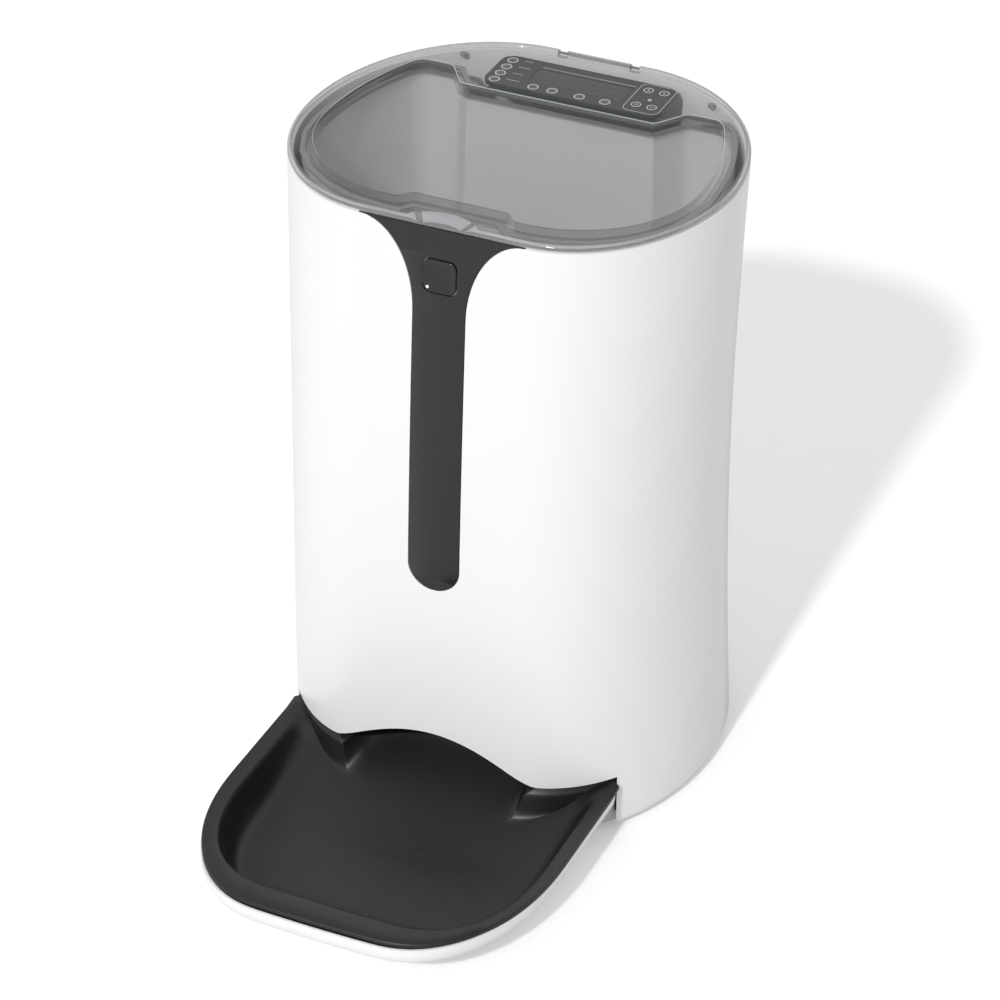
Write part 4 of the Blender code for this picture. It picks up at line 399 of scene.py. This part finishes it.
# Feed button: a dished square key with rounded corners, moulded in the same charcoal
# plastic but polished, with a small lit dot in one corner. It travels 0.8 mm.
button_finish = plastic("charcoal_button", (0.015, 0.015, 0.0165), 0.26, grain=0.02, scale=1400, tint=0.05)
profile = [(-2.2, 14.3, 3.2), (0.05, 14.3, 3.2), (0.3, 14.1, 3.1), (0.46, 13.7, 3.0), (0.5, 13.1, 2.9),
           (0.44, 12.6, 2.8), (0.28, 12.0, 2.7), (0.18, 10.8, 2.5), (0.14, 8.0, 2.0), (0.12, 3.0, 1.0)]
feed_key = skin("feed_key", [on_button(square_outline(size * MM, corner * MM), out * MM)
                             for out, size, corner in profile], button_finish, angle=60)
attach(feed_key, "feed_button")
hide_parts("feed_button")


def lamp_finish(name, colour, strength):
    """Milky light guide that glows a little."""
    made = plastic(name, colour, 0.35, grain=0.0, scale=400, tint=0.02)
    shader = made.node_tree.nodes["Principled BSDF"]
    shader.inputs["Emission Color"].default_value = (*colour, 1)
    shader.inputs["Emission Strength"].default_value = strength
    return made


DOT_SPOT = (-5.25 * MM, -5.25 * MM)
dot_rings = [on_button(ellipse_arc(DOT_SPOT, r * MM, r * MM, 0, 345, 23), out * MM)
             for r, out in ((0.7, 0.05), (0.7, 0.42), (0.5, 0.52), (0.2, 0.56))]
button_dot = skin("feed_key_dot", dot_rings, lamp_finish("key_dot_glow", (0.75, 0.8, 0.86), 0.25), angle=70)
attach(button_dot, "feed_button")
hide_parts("button_light")


# Food bowl: a dark moulded dish with a flat rim, soft sloping walls and a ramp that runs up
# under the body's wave. Charcoal plastic, satin, with a faint orange-peel texture.
bowl_finish = plastic("charcoal_bowl", (0.0085, 0.0085, 0.0093), 0.42, grain=0.035, scale=1100, tint=0.05)
RIM, BOWL_MIDDLE, RAMP_HALF = 24.7 * MM, -70 * MM, 43 * MM
RAMP_STEPS, DIP_STEPS = 12, 16


def tray_half(back, side_half, reach, power, steps=26):
    side_start, side_end = back[-1][1], WIDEST_Y - 120 * MM
    half = list(back) + [(side_half, side_start - 0.8 * MM)]
    half += [(side_half, side_start + (side_end - side_start) * step / 7) for step in range(1, 7)]
    half += ellipse_arc((26 * MM, side_end), side_half - 26 * MM, reach - 120 * MM, 0, -90, steps, power)
    half += [(26 * MM * (1 - step / 4), WIDEST_Y - reach) for step in range(1, 5)]
    return half


def wavy_back(ramp_half, ramp_end, tip_half, inset):
    """Back edge of one half: the ramp's straight end, then a line just inside the body's front."""
    points = [(ramp_half * step / RAMP_STEPS, WIDEST_Y - ramp_end) for step in range(RAMP_STEPS + 1)]
    start = ramp_half + 3 * MM
    for step in range(DIP_STEPS + 1):
        x = start + (tip_half - start) * step / DIP_STEPS
        points.append((x, body_front_at(x, WAVE_LEVEL, wall) - inset))
    tip_front = min(points[-1][1], body_front_at(WAVE_HALF, WAVE_LEVEL))
    points.append((tip_half, tip_front - 0.8 * MM))
    return points


def whole_ring(half, heights):
    right = [(x, y, z) for (x, y), z in zip(half, heights)]
    return right + [(-x, y, z) for x, y, z in reversed(right[1:-1])]


def blend_rings(first, second, share):
    """Ring between two rings, for rounding the bend where they meet."""
    return [tuple(a + (b - a) * share for a, b in zip(p, q)) for p, q in zip(first, second)]


outer = tray_half(wavy_back(RAMP_HALF, 55 * MM, 75.2 * MM, 0), 77.5 * MM, 201 * MM, 2.3)
outer_z = []
for step, (x, y) in enumerate(outer):
    if step <= RAMP_STEPS:
        share = min(1, abs(x) / ARCH_HALF)
        outer_z.append(25 * MM + 8.5 * MM * (1 - share * share) ** 1.3)
    elif step <= RAMP_STEPS + DIP_STEPS + 1:
        outer_z.append(WAVE_LEVEL - 0.8 * MM)
    else:
        rise = (WAVE_LEVEL - 0.8 * MM - RIM) * max(0, 1 - (step - RAMP_STEPS - DIP_STEPS - 1) / 3)
        outer_z.append(RIM + rise)
inner = tray_half(wavy_back(40 * MM, 58 * MM, 66 * MM, 3 * MM), 71 * MM, 185 * MM, 2.5)
inner_z = [min(z - 1.2 * MM, RIM) if z < WAVE_LEVEL else z - 1.2 * MM for z in outer_z]


def ramp_height(y):
    """The bowl's bed: flat at the front, rising smoothly under the body."""
    bed, rise, start, run = 6.6 * MM, 26 * MM, -66 * MM, 68 * MM
    share = min(1, max(0, (y - start) / run))
    return bed + rise * share ** 1.9


def bow_front(ring, forward, bow):
    """Draws the front of a ring back and bows it, without moving its sides."""
    start, run, half = -62.5 * MM, 60 * MM, 52 * MM
    moved = []
    for x, y, z in ring:
        share = min(1, max(0, (start - y) / run))
        moved.append((x, y + share * (forward + bow * (x / half) ** 2), z))
    return moved


def bend_ramp(half, depth, ramp_half):
    """Bends the ramp's end forward towards its two corners."""
    bent = [(x, y - depth * (x / ramp_half) ** 4) for x, y in half[:RAMP_STEPS + 1]]
    return bent + half[RAMP_STEPS + 1:]


outer_ring = bow_front(whole_ring(bend_ramp(outer, 17 * MM, RAMP_HALF), outer_z), 2.2 * MM, 1.6 * MM)
inner_ring = bow_front(whole_ring(bend_ramp(inner, 15 * MM, 40 * MM), inner_z), -0.4 * MM, 1.2 * MM)


def bed_ring(scale, share):
    """Ring inside the inner rim; share blends from the rim's height to the bed's."""
    ring = []
    for x, y, z in inner_ring:
        inside_y = BOWL_MIDDLE + (y - BOWL_MIDDLE) * scale
        ring.append((x * scale, inside_y, z + (min(ramp_height(inside_y), z) - z) * share))
    return ring


lip_ring = [(x, y, z - 0.6 * MM) for x, y, z in outer_ring]
top = [lip_ring, blend_rings(outer_ring, inner_ring, 0.06),
       blend_rings(outer_ring, inner_ring, 0.5), blend_rings(outer_ring, inner_ring, 0.92),
       [(x, y, z - 0.25 * MM) for x, y, z in inner_ring]]
bed_shares = ((0.985, 0.16), (0.965, 0.42), (0.945, 0.66), (0.92, 0.85), (0.89, 0.96), (0.85, 1), (0.78, 1),
              (0.68, 1), (0.55, 1), (0.4, 1), (0.22, 1), (0.06, 1))
top += [bed_ring(scale, share) for scale, share in bed_shares]
under = [[(x, y, z - 1.6 * MM) for x, y, z in ring] for ring in top]
bowl = skin("bowl", under[::-1] + top, bowl_finish, angle=60)
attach(bowl, "tray")
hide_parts("food_bowl")


# Tray: the white hull under the bowl, moulded in the body's plastic. It narrows towards
# the floor so the bowl's dark rim stands out over it.
back = WIDEST_Y - 87.6 * MM
plan = []
for x, y in wavy_back(RAMP_HALF, 55 * MM, 74.4 * MM, 0):
    limit = body_front_at(x, WAVE_LEVEL, -0.8 * MM) - 0.8 * MM
    plan.append((x, back if x <= RAMP_HALF else min(y, limit)))
plan = tray_half(plan, 77.2 * MM, 200.8 * MM, 2.3)
edge_top, edge_low = RIM - 2.3 * MM, 3.5 * MM
edge_z = []
for step, (x, y) in enumerate(plan):
    share = min(1, max(0, (x - RAMP_HALF) / (32.2 * MM)))
    rising = step <= RAMP_STEPS + DIP_STEPS + 2
    edge_z.append(edge_low + (edge_top - edge_low) * share * share if rising else edge_top)
hull = []
levels = (22.4, 20.5, 18, 15.4, 12.4, 9.2, 6.2, 3.9, 2.6, 2.2)
sides = (0.0, 0.1, 0.5, 1.6, 4.2, 8.2, 12.2, 15.8, 18.6, 22)
fronts = (0.0, 0.2, 0.9, 2.6, 6.4, 12.4, 18.6, 24.6, 29, 34)
for row, (height, side, front) in enumerate(zip(levels, sides, fronts)):
    across, along = 1 - side / 77.5, 1 - front / 113.4
    deepen = row * 4 / 9 * MM
    lower = [min(height * MM, edge - (edge - 2.2 * MM) * row / (len(levels) - 1)) for edge in edge_z]
    ring = whole_ring([(x * across, back - deepen + (y - back) * along) for x, y in plan], lower)
    hull.append(bow_front(ring, 0.3 * MM, 1.8 * MM))
over, shrink = [], 0.986
for ring in hull:
    over.append([(x * shrink, BOWL_MIDDLE + (y - BOWL_MIDDLE) * shrink, min(z + 0.7 * MM, edge_top))
                 for x, y, z in ring])
hull_piece = skin("tray_hull", over[::-1] + hull, white_gloss, angle=50)
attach(hull_piece, "tray")
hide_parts("tray_shell")


# Top deck: the grey ring under the lid that closes the body round the hopper's mouth.
# It drops into the body on a ledge and holds the control panel in a shallow pocket.
deck_grey = plastic("deck_grey", (0.36, 0.36, 0.368), 0.42, grain=0.03, scale=900, tint=0.04)


def rounded(outline, radius, steps=6):
    """Rounds each real corner of an outline with a short arc."""
    points = []
    count = len(outline)
    for step, here in enumerate(outline):
        before, after = Vector(outline[step - 1]), Vector(outline[(step + 1) % count])
        here = Vector(here)
        back_way, on_way = (before - here), (after - here)
        turn = math.pi - back_way.angle(on_way)
        if turn < math.radians(14):
            points.append(tuple(here))
            continue
        reach = min(radius * math.tan(turn / 2), back_way.length * 0.45, on_way.length * 0.45)
        start, stop = here + back_way.normalized() * reach, here + on_way.normalized() * reach
        for part in range(steps + 1):
            t = part / steps
            bend = start * (1 - t) ** 2 + here * 2 * t * (1 - t) + stop * t ** 2
            points.append(tuple(bend))
    return points


MOUTH_MIDDLE = WIDEST_Y - 8 * MM


def mouth_corners():
    stop = math.degrees(math.asin(57.3 / 93))
    half = [(21.4 * MM, MOUTH_MIDDLE - 45.7 * MM), (25.3 * MM, MOUTH_MIDDLE - 51 * MM)]
    half += ellipse_arc((30 * MM, MOUTH_MIDDLE), 53 * MM, 51 * MM, -90, 0, 20)
    half += ellipse_arc((22 * MM, MOUTH_MIDDLE), 61 * MM, 93 * MM, 0, stop, 16)[1:]
    half += [(half[-1][0] - 3 * MM, MOUTH_MIDDLE + 60.3 * MM), (54 * MM, MOUTH_MIDDLE + 60.3 * MM),
             (44.5 * MM, MOUTH_MIDDLE + 46.5 * MM)]
    return mirrored(half)


mouth_line = rounded(mouth_corners(), 4.5 * MM)
DECK_TOP = 280.3 * MM
PANEL_MIDDLE, PANEL_HALF_X, PANEL_HALF_Y = WIDEST_Y + 64.45 * MM, 40.5 * MM, 13.55 * MM


def mouth_outline(grow=0):
    return offset_outline(mouth_line, grow) if grow else mouth_line


def panel_outline(grow=0, corner=6 * MM):
    half_x, half_y = PANEL_HALF_X + grow - corner, PANEL_HALF_Y + grow - corner
    points = []
    for side, along, start in ((1, -1, -90), (1, 1, 0), (-1, 1, 90), (-1, -1, 180)):
        points += ellipse_arc((side * half_x, PANEL_MIDDLE + along * half_y), corner, corner,
                              start, start + 90, 8)
    return points


deck = skin("mouth_deck", [level(body_outline(DECK_TOP, 2.9 * MM), DECK_TOP - 2.4 * MM),
                           level(body_outline(DECK_TOP, 2.9 * MM), DECK_TOP)], deck_grey)
carve(deck, skin("mouth_tool", [level(mouth_outline(3.6 * MM), DECK_TOP - 5 * MM),
                                level(mouth_outline(3.6 * MM), DECK_TOP - 0.9 * MM),
                                level(mouth_outline(3.9 * MM), DECK_TOP - 0.3 * MM),
                                level(mouth_outline(4.7 * MM), DECK_TOP + 0.1 * MM),
                                level(mouth_outline(4.7 * MM), DECK_TOP + 3 * MM)], deck_grey))
carve(deck, skin("pocket_tool", [level(panel_outline(0.3 * MM), DECK_TOP - 1.1 * MM),
                                 level(panel_outline(0.3 * MM), DECK_TOP + 3 * MM)], deck_grey))
carve(deck, skin("window_tool", [level(panel_outline(-1.2 * MM), DECK_TOP - 5 * MM),
                                 level(panel_outline(-1.2 * MM), DECK_TOP)], deck_grey))
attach(deck, "feeder")
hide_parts("top_deck")


# Hopper: the food tank, one thin grey moulding with steep walls above and a funnel below,
# which drops into the drum's collar. Satin inside so the food slides.
tank_grey = plastic("tank_grey", (0.66, 0.66, 0.67), 0.4, grain=0.02, scale=700, tint=0.03)


def throat_ring(grow):
    """Ring at the drum's collar with one point for each point of the mouth."""
    points = []
    for x, y in mouth_outline():
        turn = math.atan2((y - MOUTH_MIDDLE) / 60.3, x / 83)
        side, along = math.cos(turn), math.sin(turn)
        points.append(((24 * MM + grow) * math.copysign(abs(side) ** (1 / 3), side),
                       35.5 * MM + (18 * MM + grow) * math.copysign(abs(along) ** (1 / 3), along)))
    return points


tank_rings = []
for thick, order in ((0.0, 1), (1.8 * MM, -1)):
    side = [level(mouth_outline(grow * MM + thick), height * MM)
            for grow, height in ((3.6, 277.6), (2.1, 240), (0.6, 205))]
    side += [level(throat_ring(thick), height * MM) for height in (145, 137)]
    tank_rings += side[::order]
tank = skin("food_tank", tank_rings, tank_grey, closed=True, angle=28)
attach(tank, "feeder")
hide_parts("hopper")


# Control panel: a dark overlay with a display window, eight lamps and four round keys.
# Its marks are plain printed lines and rings, without any words.
panel_dark = plastic("panel_overlay", (0.030, 0.031, 0.034), 0.3, grain=0.015, scale=1500, tint=0.04)
print_grey = plastic("panel_print", (0.62, 0.63, 0.65), 0.5, grain=0.0, scale=500, tint=0.02)
PANEL_TOP, DISPLAY_TOP = 281.2 * MM, 281.2 * MM - 0.15 * MM
panel = skin("panel_overlay", [level(panel_outline(0, 6 * MM), PANEL_TOP - 1.7 * MM),
                               level(panel_outline(0, 6 * MM), PANEL_TOP - 0.25 * MM),
                               level(panel_outline(-0.25 * MM, 5.75 * MM), PANEL_TOP)], panel_dark)
KEYS = [(x * MM, WIDEST_Y + y * MM) for x in (28, 35.1) for y in (57.8, 71.6)]
LAMPS = [(-35.5 * MM, WIDEST_Y + y * MM) for y in (54.6, 60.8, 67.1, 73.4)]
LAMPS += [(x * MM, WIDEST_Y + 54.6 * MM) for x in (-17.6, -8.9, 3.6, 15.2)]
LED_SPOT = (31.6 * MM, WIDEST_Y + 64.2 * MM)


def circle_at(spot, radius, steps=28):
    return [(spot[0] + radius * math.cos(2 * math.pi * s / steps),
             spot[1] + radius * math.sin(2 * math.pi * s / steps)) for s in range(steps)]


def rectangle(left, right, front, back):
    return [(left, front), (right, front), (right, back), (left, back)]


def pierce_panel(outline):
    """Cuts one opening right through the overlay."""
    ends = [level(outline, PANEL_TOP - 4 * MM), level(outline, PANEL_TOP + 2 * MM)]
    carve(panel, skin("panel_tool", ends, panel_dark))


pierce_panel(rectangle(-22 * MM, 21.5 * MM, WIDEST_Y + 58.5 * MM, WIDEST_Y + 71 * MM))
for spot in KEYS:
    pierce_panel(circle_at(spot, 2.9 * MM))
for spot in LAMPS:
    pierce_panel(circle_at(spot, 2.8 * MM))
pierce_panel(circle_at(LED_SPOT, 1.2 * MM))
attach(panel, "feeder")
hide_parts("control_panel")


# Panel print: thin pale lines round the key group and beside the lamps, screen-printed on
# the overlay and modelled a few hundredths of a millimetre proud.
def flat_marks(name, loops, height, finish, body="feeder"):
    """One object of thin prints: each loop is (outer points, inner points or None)."""
    points, faces = [], []
    for outer_loop, inner_loop in loops:
        start, count = len(points), len(outer_loop)
        for z in (height, height + 0.04 * MM):
            points += [(x, y, z) for x, y in outer_loop]
            if inner_loop:
                points += [(x, y, z) for x, y in inner_loop]
        block = count * (2 if inner_loop else 1)
        for s in range(count):
            t = (s + 1) % count
            faces.append((start + s, start + t, start + block + t, start + block + s))
            if inner_loop:
                i, j = start + count + s, start + count + t
                faces.append((j, i, block + i, block + j))
                faces.append((start + block + s, start + block + t, block + j, block + i))
                faces.append((start + t, start + s, i, j))
        if not inner_loop:
            faces.append(tuple(start + block + s for s in range(count)))
            faces.append(tuple(start + s for s in range(count))[::-1])
    piece = mesh_piece(name, points, faces, finish)
    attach(piece, body)
    return piece


def rounded_box(left, right, front, back, corner, steps=5):
    points = []
    for x, y, start in ((right - corner, front + corner, -90), (right - corner, back - corner, 0),
                        (left + corner, back - corner, 90), (left + corner, front + corner, 180)):
        points += ellipse_arc((x, y), corner, corner, start, start + 90, steps)
    return points


def at_panel(left, right, front, back):
    return left * MM, right * MM, WIDEST_Y + front * MM, WIDEST_Y + back * MM


key_frame = (rounded_box(*at_panel(23.4, 39.6, 51.9, 77.2), 3.2 * MM),
             rounded_box(*at_panel(23.75, 39.25, 52.25, 76.85), 2.85 * MM))
line_sides = ((-20.7, 22, 72.4, 72.75), (-30.5, -24.5, 56.2, 56.5), (-30.5, -26.0, 62.4, 62.7),
              (-30.5, -25.0, 68.6, 68.9), (-30.5, -26.5, 74.6, 74.9))
marks = [key_frame] + [(rectangle(*at_panel(*sides)), None) for sides in line_sides]
flat_marks("panel_lines", marks, PANEL_TOP, print_grey)


# Display: a dark liquid-crystal window in the middle of the panel, off, with its segments
# just visible as slightly paler bars of plain numbers.
glass_dark = plastic("display_glass", (0.018, 0.019, 0.021), 0.12, grain=0.0, scale=300, coat=0.4, tint=0.05)
segment_grey = plastic("display_segment", (0.055, 0.057, 0.061), 0.35, grain=0.0, scale=300, tint=0.04)
display_outline = rounded_box(*at_panel(-21.7, 21.2, 58.8, 70.7), 0.5 * MM)
display = skin("display_window", [level(display_outline, z) for z in (277.9 * MM, DISPLAY_TOP)], glass_dark)
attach(display, "feeder")
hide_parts("lcd_display")
digits = {"1": "bc", "2": "abged", "0": "abcdef", "3": "abgcd"}
bars = {"a": (0.4, 2.6, 5.6, 6.0), "b": (2.6, 3.0, 3.2, 5.8), "c": (2.6, 3.0, 0.2, 2.8),
        "d": (0.4, 2.6, 0, 0.4), "e": (0, 0.4, 0.2, 2.8), "f": (0, 0.4, 3.2, 5.8), "g": (0.4, 2.6, 2.8, 3.2)}
DIGIT_FOOT = 61.4
segments = []
for start, digit in ((-8.6, "1"), (-4.2, "2"), (2.2, "3"), (6.6, "0")):
    for bar in digits[digit]:
        left, right, low, high = bars[bar]
        sides = at_panel(start + left, start + right, DIGIT_FOOT + low, DIGIT_FOOT + high)
        segments.append((rectangle(*sides), None))
for row in (63.0, 65.6):
    segments.append((rectangle(*at_panel(0.3, 0.9, row, row + 0.6)), None))
for start in (-19, -15.6, 13.4, 16.6):
    segments.append((rectangle(*at_panel(start, start + 2.2, 61.6, 62.1)), None))
    segments.append((rectangle(*at_panel(start, start + 2.2, 66.8, 67.3)), None))
flat_marks("display_segments", segments, DISPLAY_TOP, segment_grey)


# Panel keys and lamps: round caps in the overlay's plastic with a pale printed ring, and
# milky light guides set flush. Each key presses 0.5 mm on its own switch.
key_dark = plastic("key_cap", (0.035, 0.036, 0.038), 0.28, grain=0.02, scale=1500, tint=0.04)
lamp_dark = plastic("lamp_lens", (0.10, 0.103, 0.108), 0.22, grain=0.0, scale=400, tint=0.04)
cross_bar, upright_bar = rectangle(-0.9, 0.9, -0.2, 0.2), rectangle(-0.2, 0.2, -0.9, 0.9)
signs = ((cross_bar, upright_bar), (((-0.8, -0.6), (0.8, -0.6), (0.0, 0.8)),),
         (cross_bar,), (((-0.8, 0.6), (0.0, -0.8), (0.8, 0.6)),))
cap_profile = ((1.2, 279.0), (2.6, 279.0), (2.6, 281.1), (2.45, 281.3), (2.1, 281.38), (0.9, 281.33))
for number, spot in enumerate(KEYS, start=1):
    cap_rings = [level(circle_at(spot, r * MM), z * MM) for r, z in cap_profile]
    key = skin(f"key_cap_{number}", cap_rings, key_dark, angle=60)
    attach(key, f"key_{number}")
    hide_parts(f"panel_key_{number}")
    loops = [(circle_at(spot, 2.35 * MM), circle_at(spot, 1.75 * MM))]
    for sign in signs[number - 1]:
        loops.append(([(spot[0] + x * MM, spot[1] + y * MM) for x, y in sign], None))
    flat_marks(f"key_print_{number}", loops, 281.36 * MM, print_grey, body=f"key_{number}")
lamp_profile, lamp_sides = ((2.5, 279.2), (2.5, 281.1), (2.3, 281.2)), 28
for name, spots in (("lamps_column", LAMPS[:4]), ("lamps_row", LAMPS[4:])):
    points, faces = [], []
    for spot in spots:
        base = len(points)
        for r, z in lamp_profile:
            points += [(x, y, z * MM) for x, y in circle_at(spot, r * MM, lamp_sides)]
        for low in (base, base + lamp_sides):
            high = low + lamp_sides
            for s in range(lamp_sides):
                t = (s + 1) % lamp_sides
                faces.append((low + s, low + t, high + t, high + s))
        faces.append(tuple(base + 2 * lamp_sides + s for s in range(lamp_sides)))
        faces.append(tuple(base + s for s in range(lamp_sides))[::-1])
    lamps = mesh_piece(name, points, faces, lamp_dark, angle=60)
    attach(lamps, "feeder")
    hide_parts("light_guide_column" if name == "lamps_column" else "light_guide_row")
    rings_print = [(circle_at(spot, 2.5 * MM), circle_at(spot, 1.8 * MM)) for spot in spots]
    flat_marks(name + "_print", rings_print, PANEL_TOP, print_grey)
led_rings = [level(circle_at(LED_SPOT, r * MM, 20), z * MM)
             for r, z in ((0.9, 277.9), (0.9, 281.15), (0.6, 281.3), (0.2, 281.36))]
led = skin("status_lens", led_rings, lamp_finish("status_glow", (0.6, 0.64, 0.7), 0.1), angle=70)
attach(led, "feeder")
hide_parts("status_led")


# Lid: one clear smoke-grey moulding, 3 mm thick, with a polished rounded rim, a sunken
# centre that steps round the panel, and a thumb scoop at the front. Hinged at the back.
def clear_plastic(name, colour, alpha, roughness=0.06):
    """Clear tinted plastic, seen through evenly, with a polished face."""
    made = plastic(name, colour, roughness, grain=0.0, scale=300, alpha=alpha, tint=0.02)
    shader = made.node_tree.nodes["Principled BSDF"]
    shader.inputs["IOR"].default_value = 1.5
    shader.inputs["Coat Weight"].default_value = 1.0
    shader.inputs["Coat Roughness"].default_value = 0.03
    return made


smoke_plate = clear_plastic("smoke_plate", (0.20, 0.20, 0.207), 0.11)
smoke_rim = clear_plastic("smoke_rim", (0.19, 0.19, 0.197), 0.6, 0.1)
# Pale smoke for the rounded top rim, the recess fillets and the scoop's slope: a painted highlight, lighter
# than the plate, standing in for the glint on the polished edges.
smoke_painted_highlight = clear_plastic("smoke_painted_highlight", (0.52, 0.53, 0.55), 0.55, 0.14)
smoke_wall = clear_plastic("smoke_wall", (0.10, 0.10, 0.105), 0.38, 0.1)
# Near-black smoke for the steep upper faces of the recess fillet: a painted dark edge line, standing in for
# the shade the clear edge shows.
smoke_painted_shade_line = clear_plastic("smoke_painted_shade_line", (0.02, 0.02, 0.022), 0.7, 0.1)
LID_LOW, LID_TOP, LID_ROUND = 282.0 * MM, 285.0 * MM, 1.6 * MM
lid_profile = [(LID_LOW, 1.0), (LID_LOW + 0.5 * MM, 0.4), (LID_LOW + 1.0 * MM, 0)]
lid_profile += [(LID_TOP - LID_ROUND + LID_ROUND * math.sin(math.pi / 2 * s / 7),
                 2.4 * (1 - math.cos(math.pi / 2 * s / 7))) for s in range(8)]
lid_rings = [level(body_outline(BODY_TOP, inset * MM, 40), z) for z, inset in lid_profile]
lid = skin("clear_lid", lid_rings, smoke_plate, angle=40)
plug = skin("plug", [level(mouth_outline(1.4 * MM), 276.2 * MM), level(mouth_outline(2.0 * MM), 276.9 * MM),
                     level(mouth_outline(2.0 * MM), LID_LOW + 1 * MM)], smoke_plate)
carve(lid, plug, "UNION", angle=40)
recess = [level(mouth_outline(-1.2 * MM), 278.2 * MM), level(mouth_outline(-0.6 * MM), 278.5 * MM),
          level(mouth_outline(-0.3 * MM), 279.2 * MM)]
recess_round = 1.1 * MM
for step in range(7):
    turn = math.pi / 2 * step / 6
    recess.append(level(mouth_outline(recess_round * (1 - math.cos(turn))),
                        LID_TOP - recess_round + recess_round * math.sin(turn)))
recess.append(level(mouth_outline(recess_round), LID_TOP + 2 * MM))
carve(lid, skin("recess_tool", recess, smoke_plate), angle=40)
scoop = skin("scoop_tool", [level(circle_at((0, WIDEST_Y - 86.5 * MM), r * MM, 90), z * MM) for r, z in
                            ((15, 282.9), (16.2, 283.1), (22.5, 285.3))], smoke_plate)
carve(lid, scoop, angle=40)
hinge_line = 142 * MM
for side in (-1, 1):
    low, high = sorted((side * 14.5 * MM, side * 18.7 * MM))
    ear_room = rectangle(low, high, hinge_line - 1.9 * MM, hinge_line + 3 * MM)
    notch = skin("notch_tool", [level(ear_room, z * MM) for z in (278, 288)], smoke_plate)
    carve(lid, notch, angle=40)
ON_RIM, ON_PAINTED_HIGHLIGHT, ON_WALL, ON_PAINTED_SHADE_LINE = 1, 2, 3, 4
for finish in (smoke_rim, smoke_painted_highlight, smoke_wall, smoke_painted_shade_line):
    lid.data.materials.append(finish)


def outside(outline, x, y):
    """True where a point lies outside a closed outline."""
    inside = False
    for step, (ax, ay) in enumerate(outline):
        bx, by = outline[step - 1]
        if (ay > y) != (by > y) and x < (bx - ax) * (y - ay) / (by - ay) + ax:
            inside = not inside
    return not inside


rim_line = body_outline(BODY_TOP, 2.5 * MM)
# Face finishes: the outer edge gets the rim smoke, the top and recess fillets get the pale painted
# highlight, the recess walls get the darker wall smoke, and the steep top of the recess fillet gets a
# painted dark edge line.
for face in lid.data.polygons:
    middle, up = face.center, abs(face.normal.z)
    if outside(rim_line, middle.x, middle.y):
        face.material_index = ON_PAINTED_HIGHLIGHT if 0.3 < up < 0.97 and middle.z > 284 * MM else ON_RIM
    elif up < 0.3 and middle.z > 277 * MM:
        face.material_index = ON_WALL
    elif up < 0.7 and middle.z > 283 * MM:
        face.material_index = ON_PAINTED_SHADE_LINE
    elif up < 0.95 and middle.z > 279 * MM:
        face.material_index = ON_PAINTED_HIGHLIGHT
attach(lid, "lid")
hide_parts("lid")


# Pieces kept from the solid model: feet, screws, seal, drum, rotor, gears, motor, chute,
# batteries and boards. Each gets its own finish here and keeps its solid's shape.
rubber = plastic("black_rubber", (0.02, 0.02, 0.02), 0.75, grain=0.15, scale=1600, tint=0.1)
silicone = plastic("grey_silicone", (0.30, 0.30, 0.307), 0.6, grain=0.05, scale=900, tint=0.05)
acetal = plastic("natural_acetal", (0.78, 0.78, 0.75), 0.38, grain=0.03, scale=600, tint=0.03)
base_white = plastic("base_white", (0.72, 0.72, 0.725), 0.38, grain=0.05, scale=900, tint=0.01)
tank_wall = plastic("grey_moulding", (0.42, 0.42, 0.43), 0.45, grain=0.05, scale=800, tint=0.03)
rotor_dark = plastic("rotor_charcoal", (0.035, 0.035, 0.037), 0.5, grain=0.08, scale=900, tint=0.05)
board_green = plastic("board_green", (0.02, 0.11, 0.05), 0.4, grain=0.04, scale=1500, tint=0.1)
cell_wrap = plastic("cell_wrap", (0.07, 0.075, 0.085), 0.3, grain=0.0, scale=500, tint=0.05)


def metal(name, colour, roughness):
    """Plain steel with a fine grain."""
    made = plastic(name, colour, roughness, grain=0.05, scale=500, tint=0.06)
    made.node_tree.nodes["Principled BSDF"].inputs["Metallic"].default_value = 1
    return made


steel = metal("plain_steel", (0.56, 0.56, 0.57), 0.32)
finishes = {"rubber_black": rubber, "seal_grey": silicone, "acetal": acetal, "white_shell": base_white,
            "tank_grey": tank_wall, "charcoal": rotor_dark, "board_green": board_green,
            "cell_wrap": cell_wrap, "steel": steel, "deck_grey": deck_grey, "lamp_white": lamp_dark,
            "charcoal_gloss": panel_dark, "display_dark": glass_dark, "smoke_clear": smoke_plate}
slots = {entry["node"]: entry["material_slot"] for entry in frame["record"]["subparts"]}
for name, node in frame["nodes"].items():
    node.data.materials.clear()
    node.data.materials.append(silicone if name.startswith("lid_pad") else finishes[slots[name]])
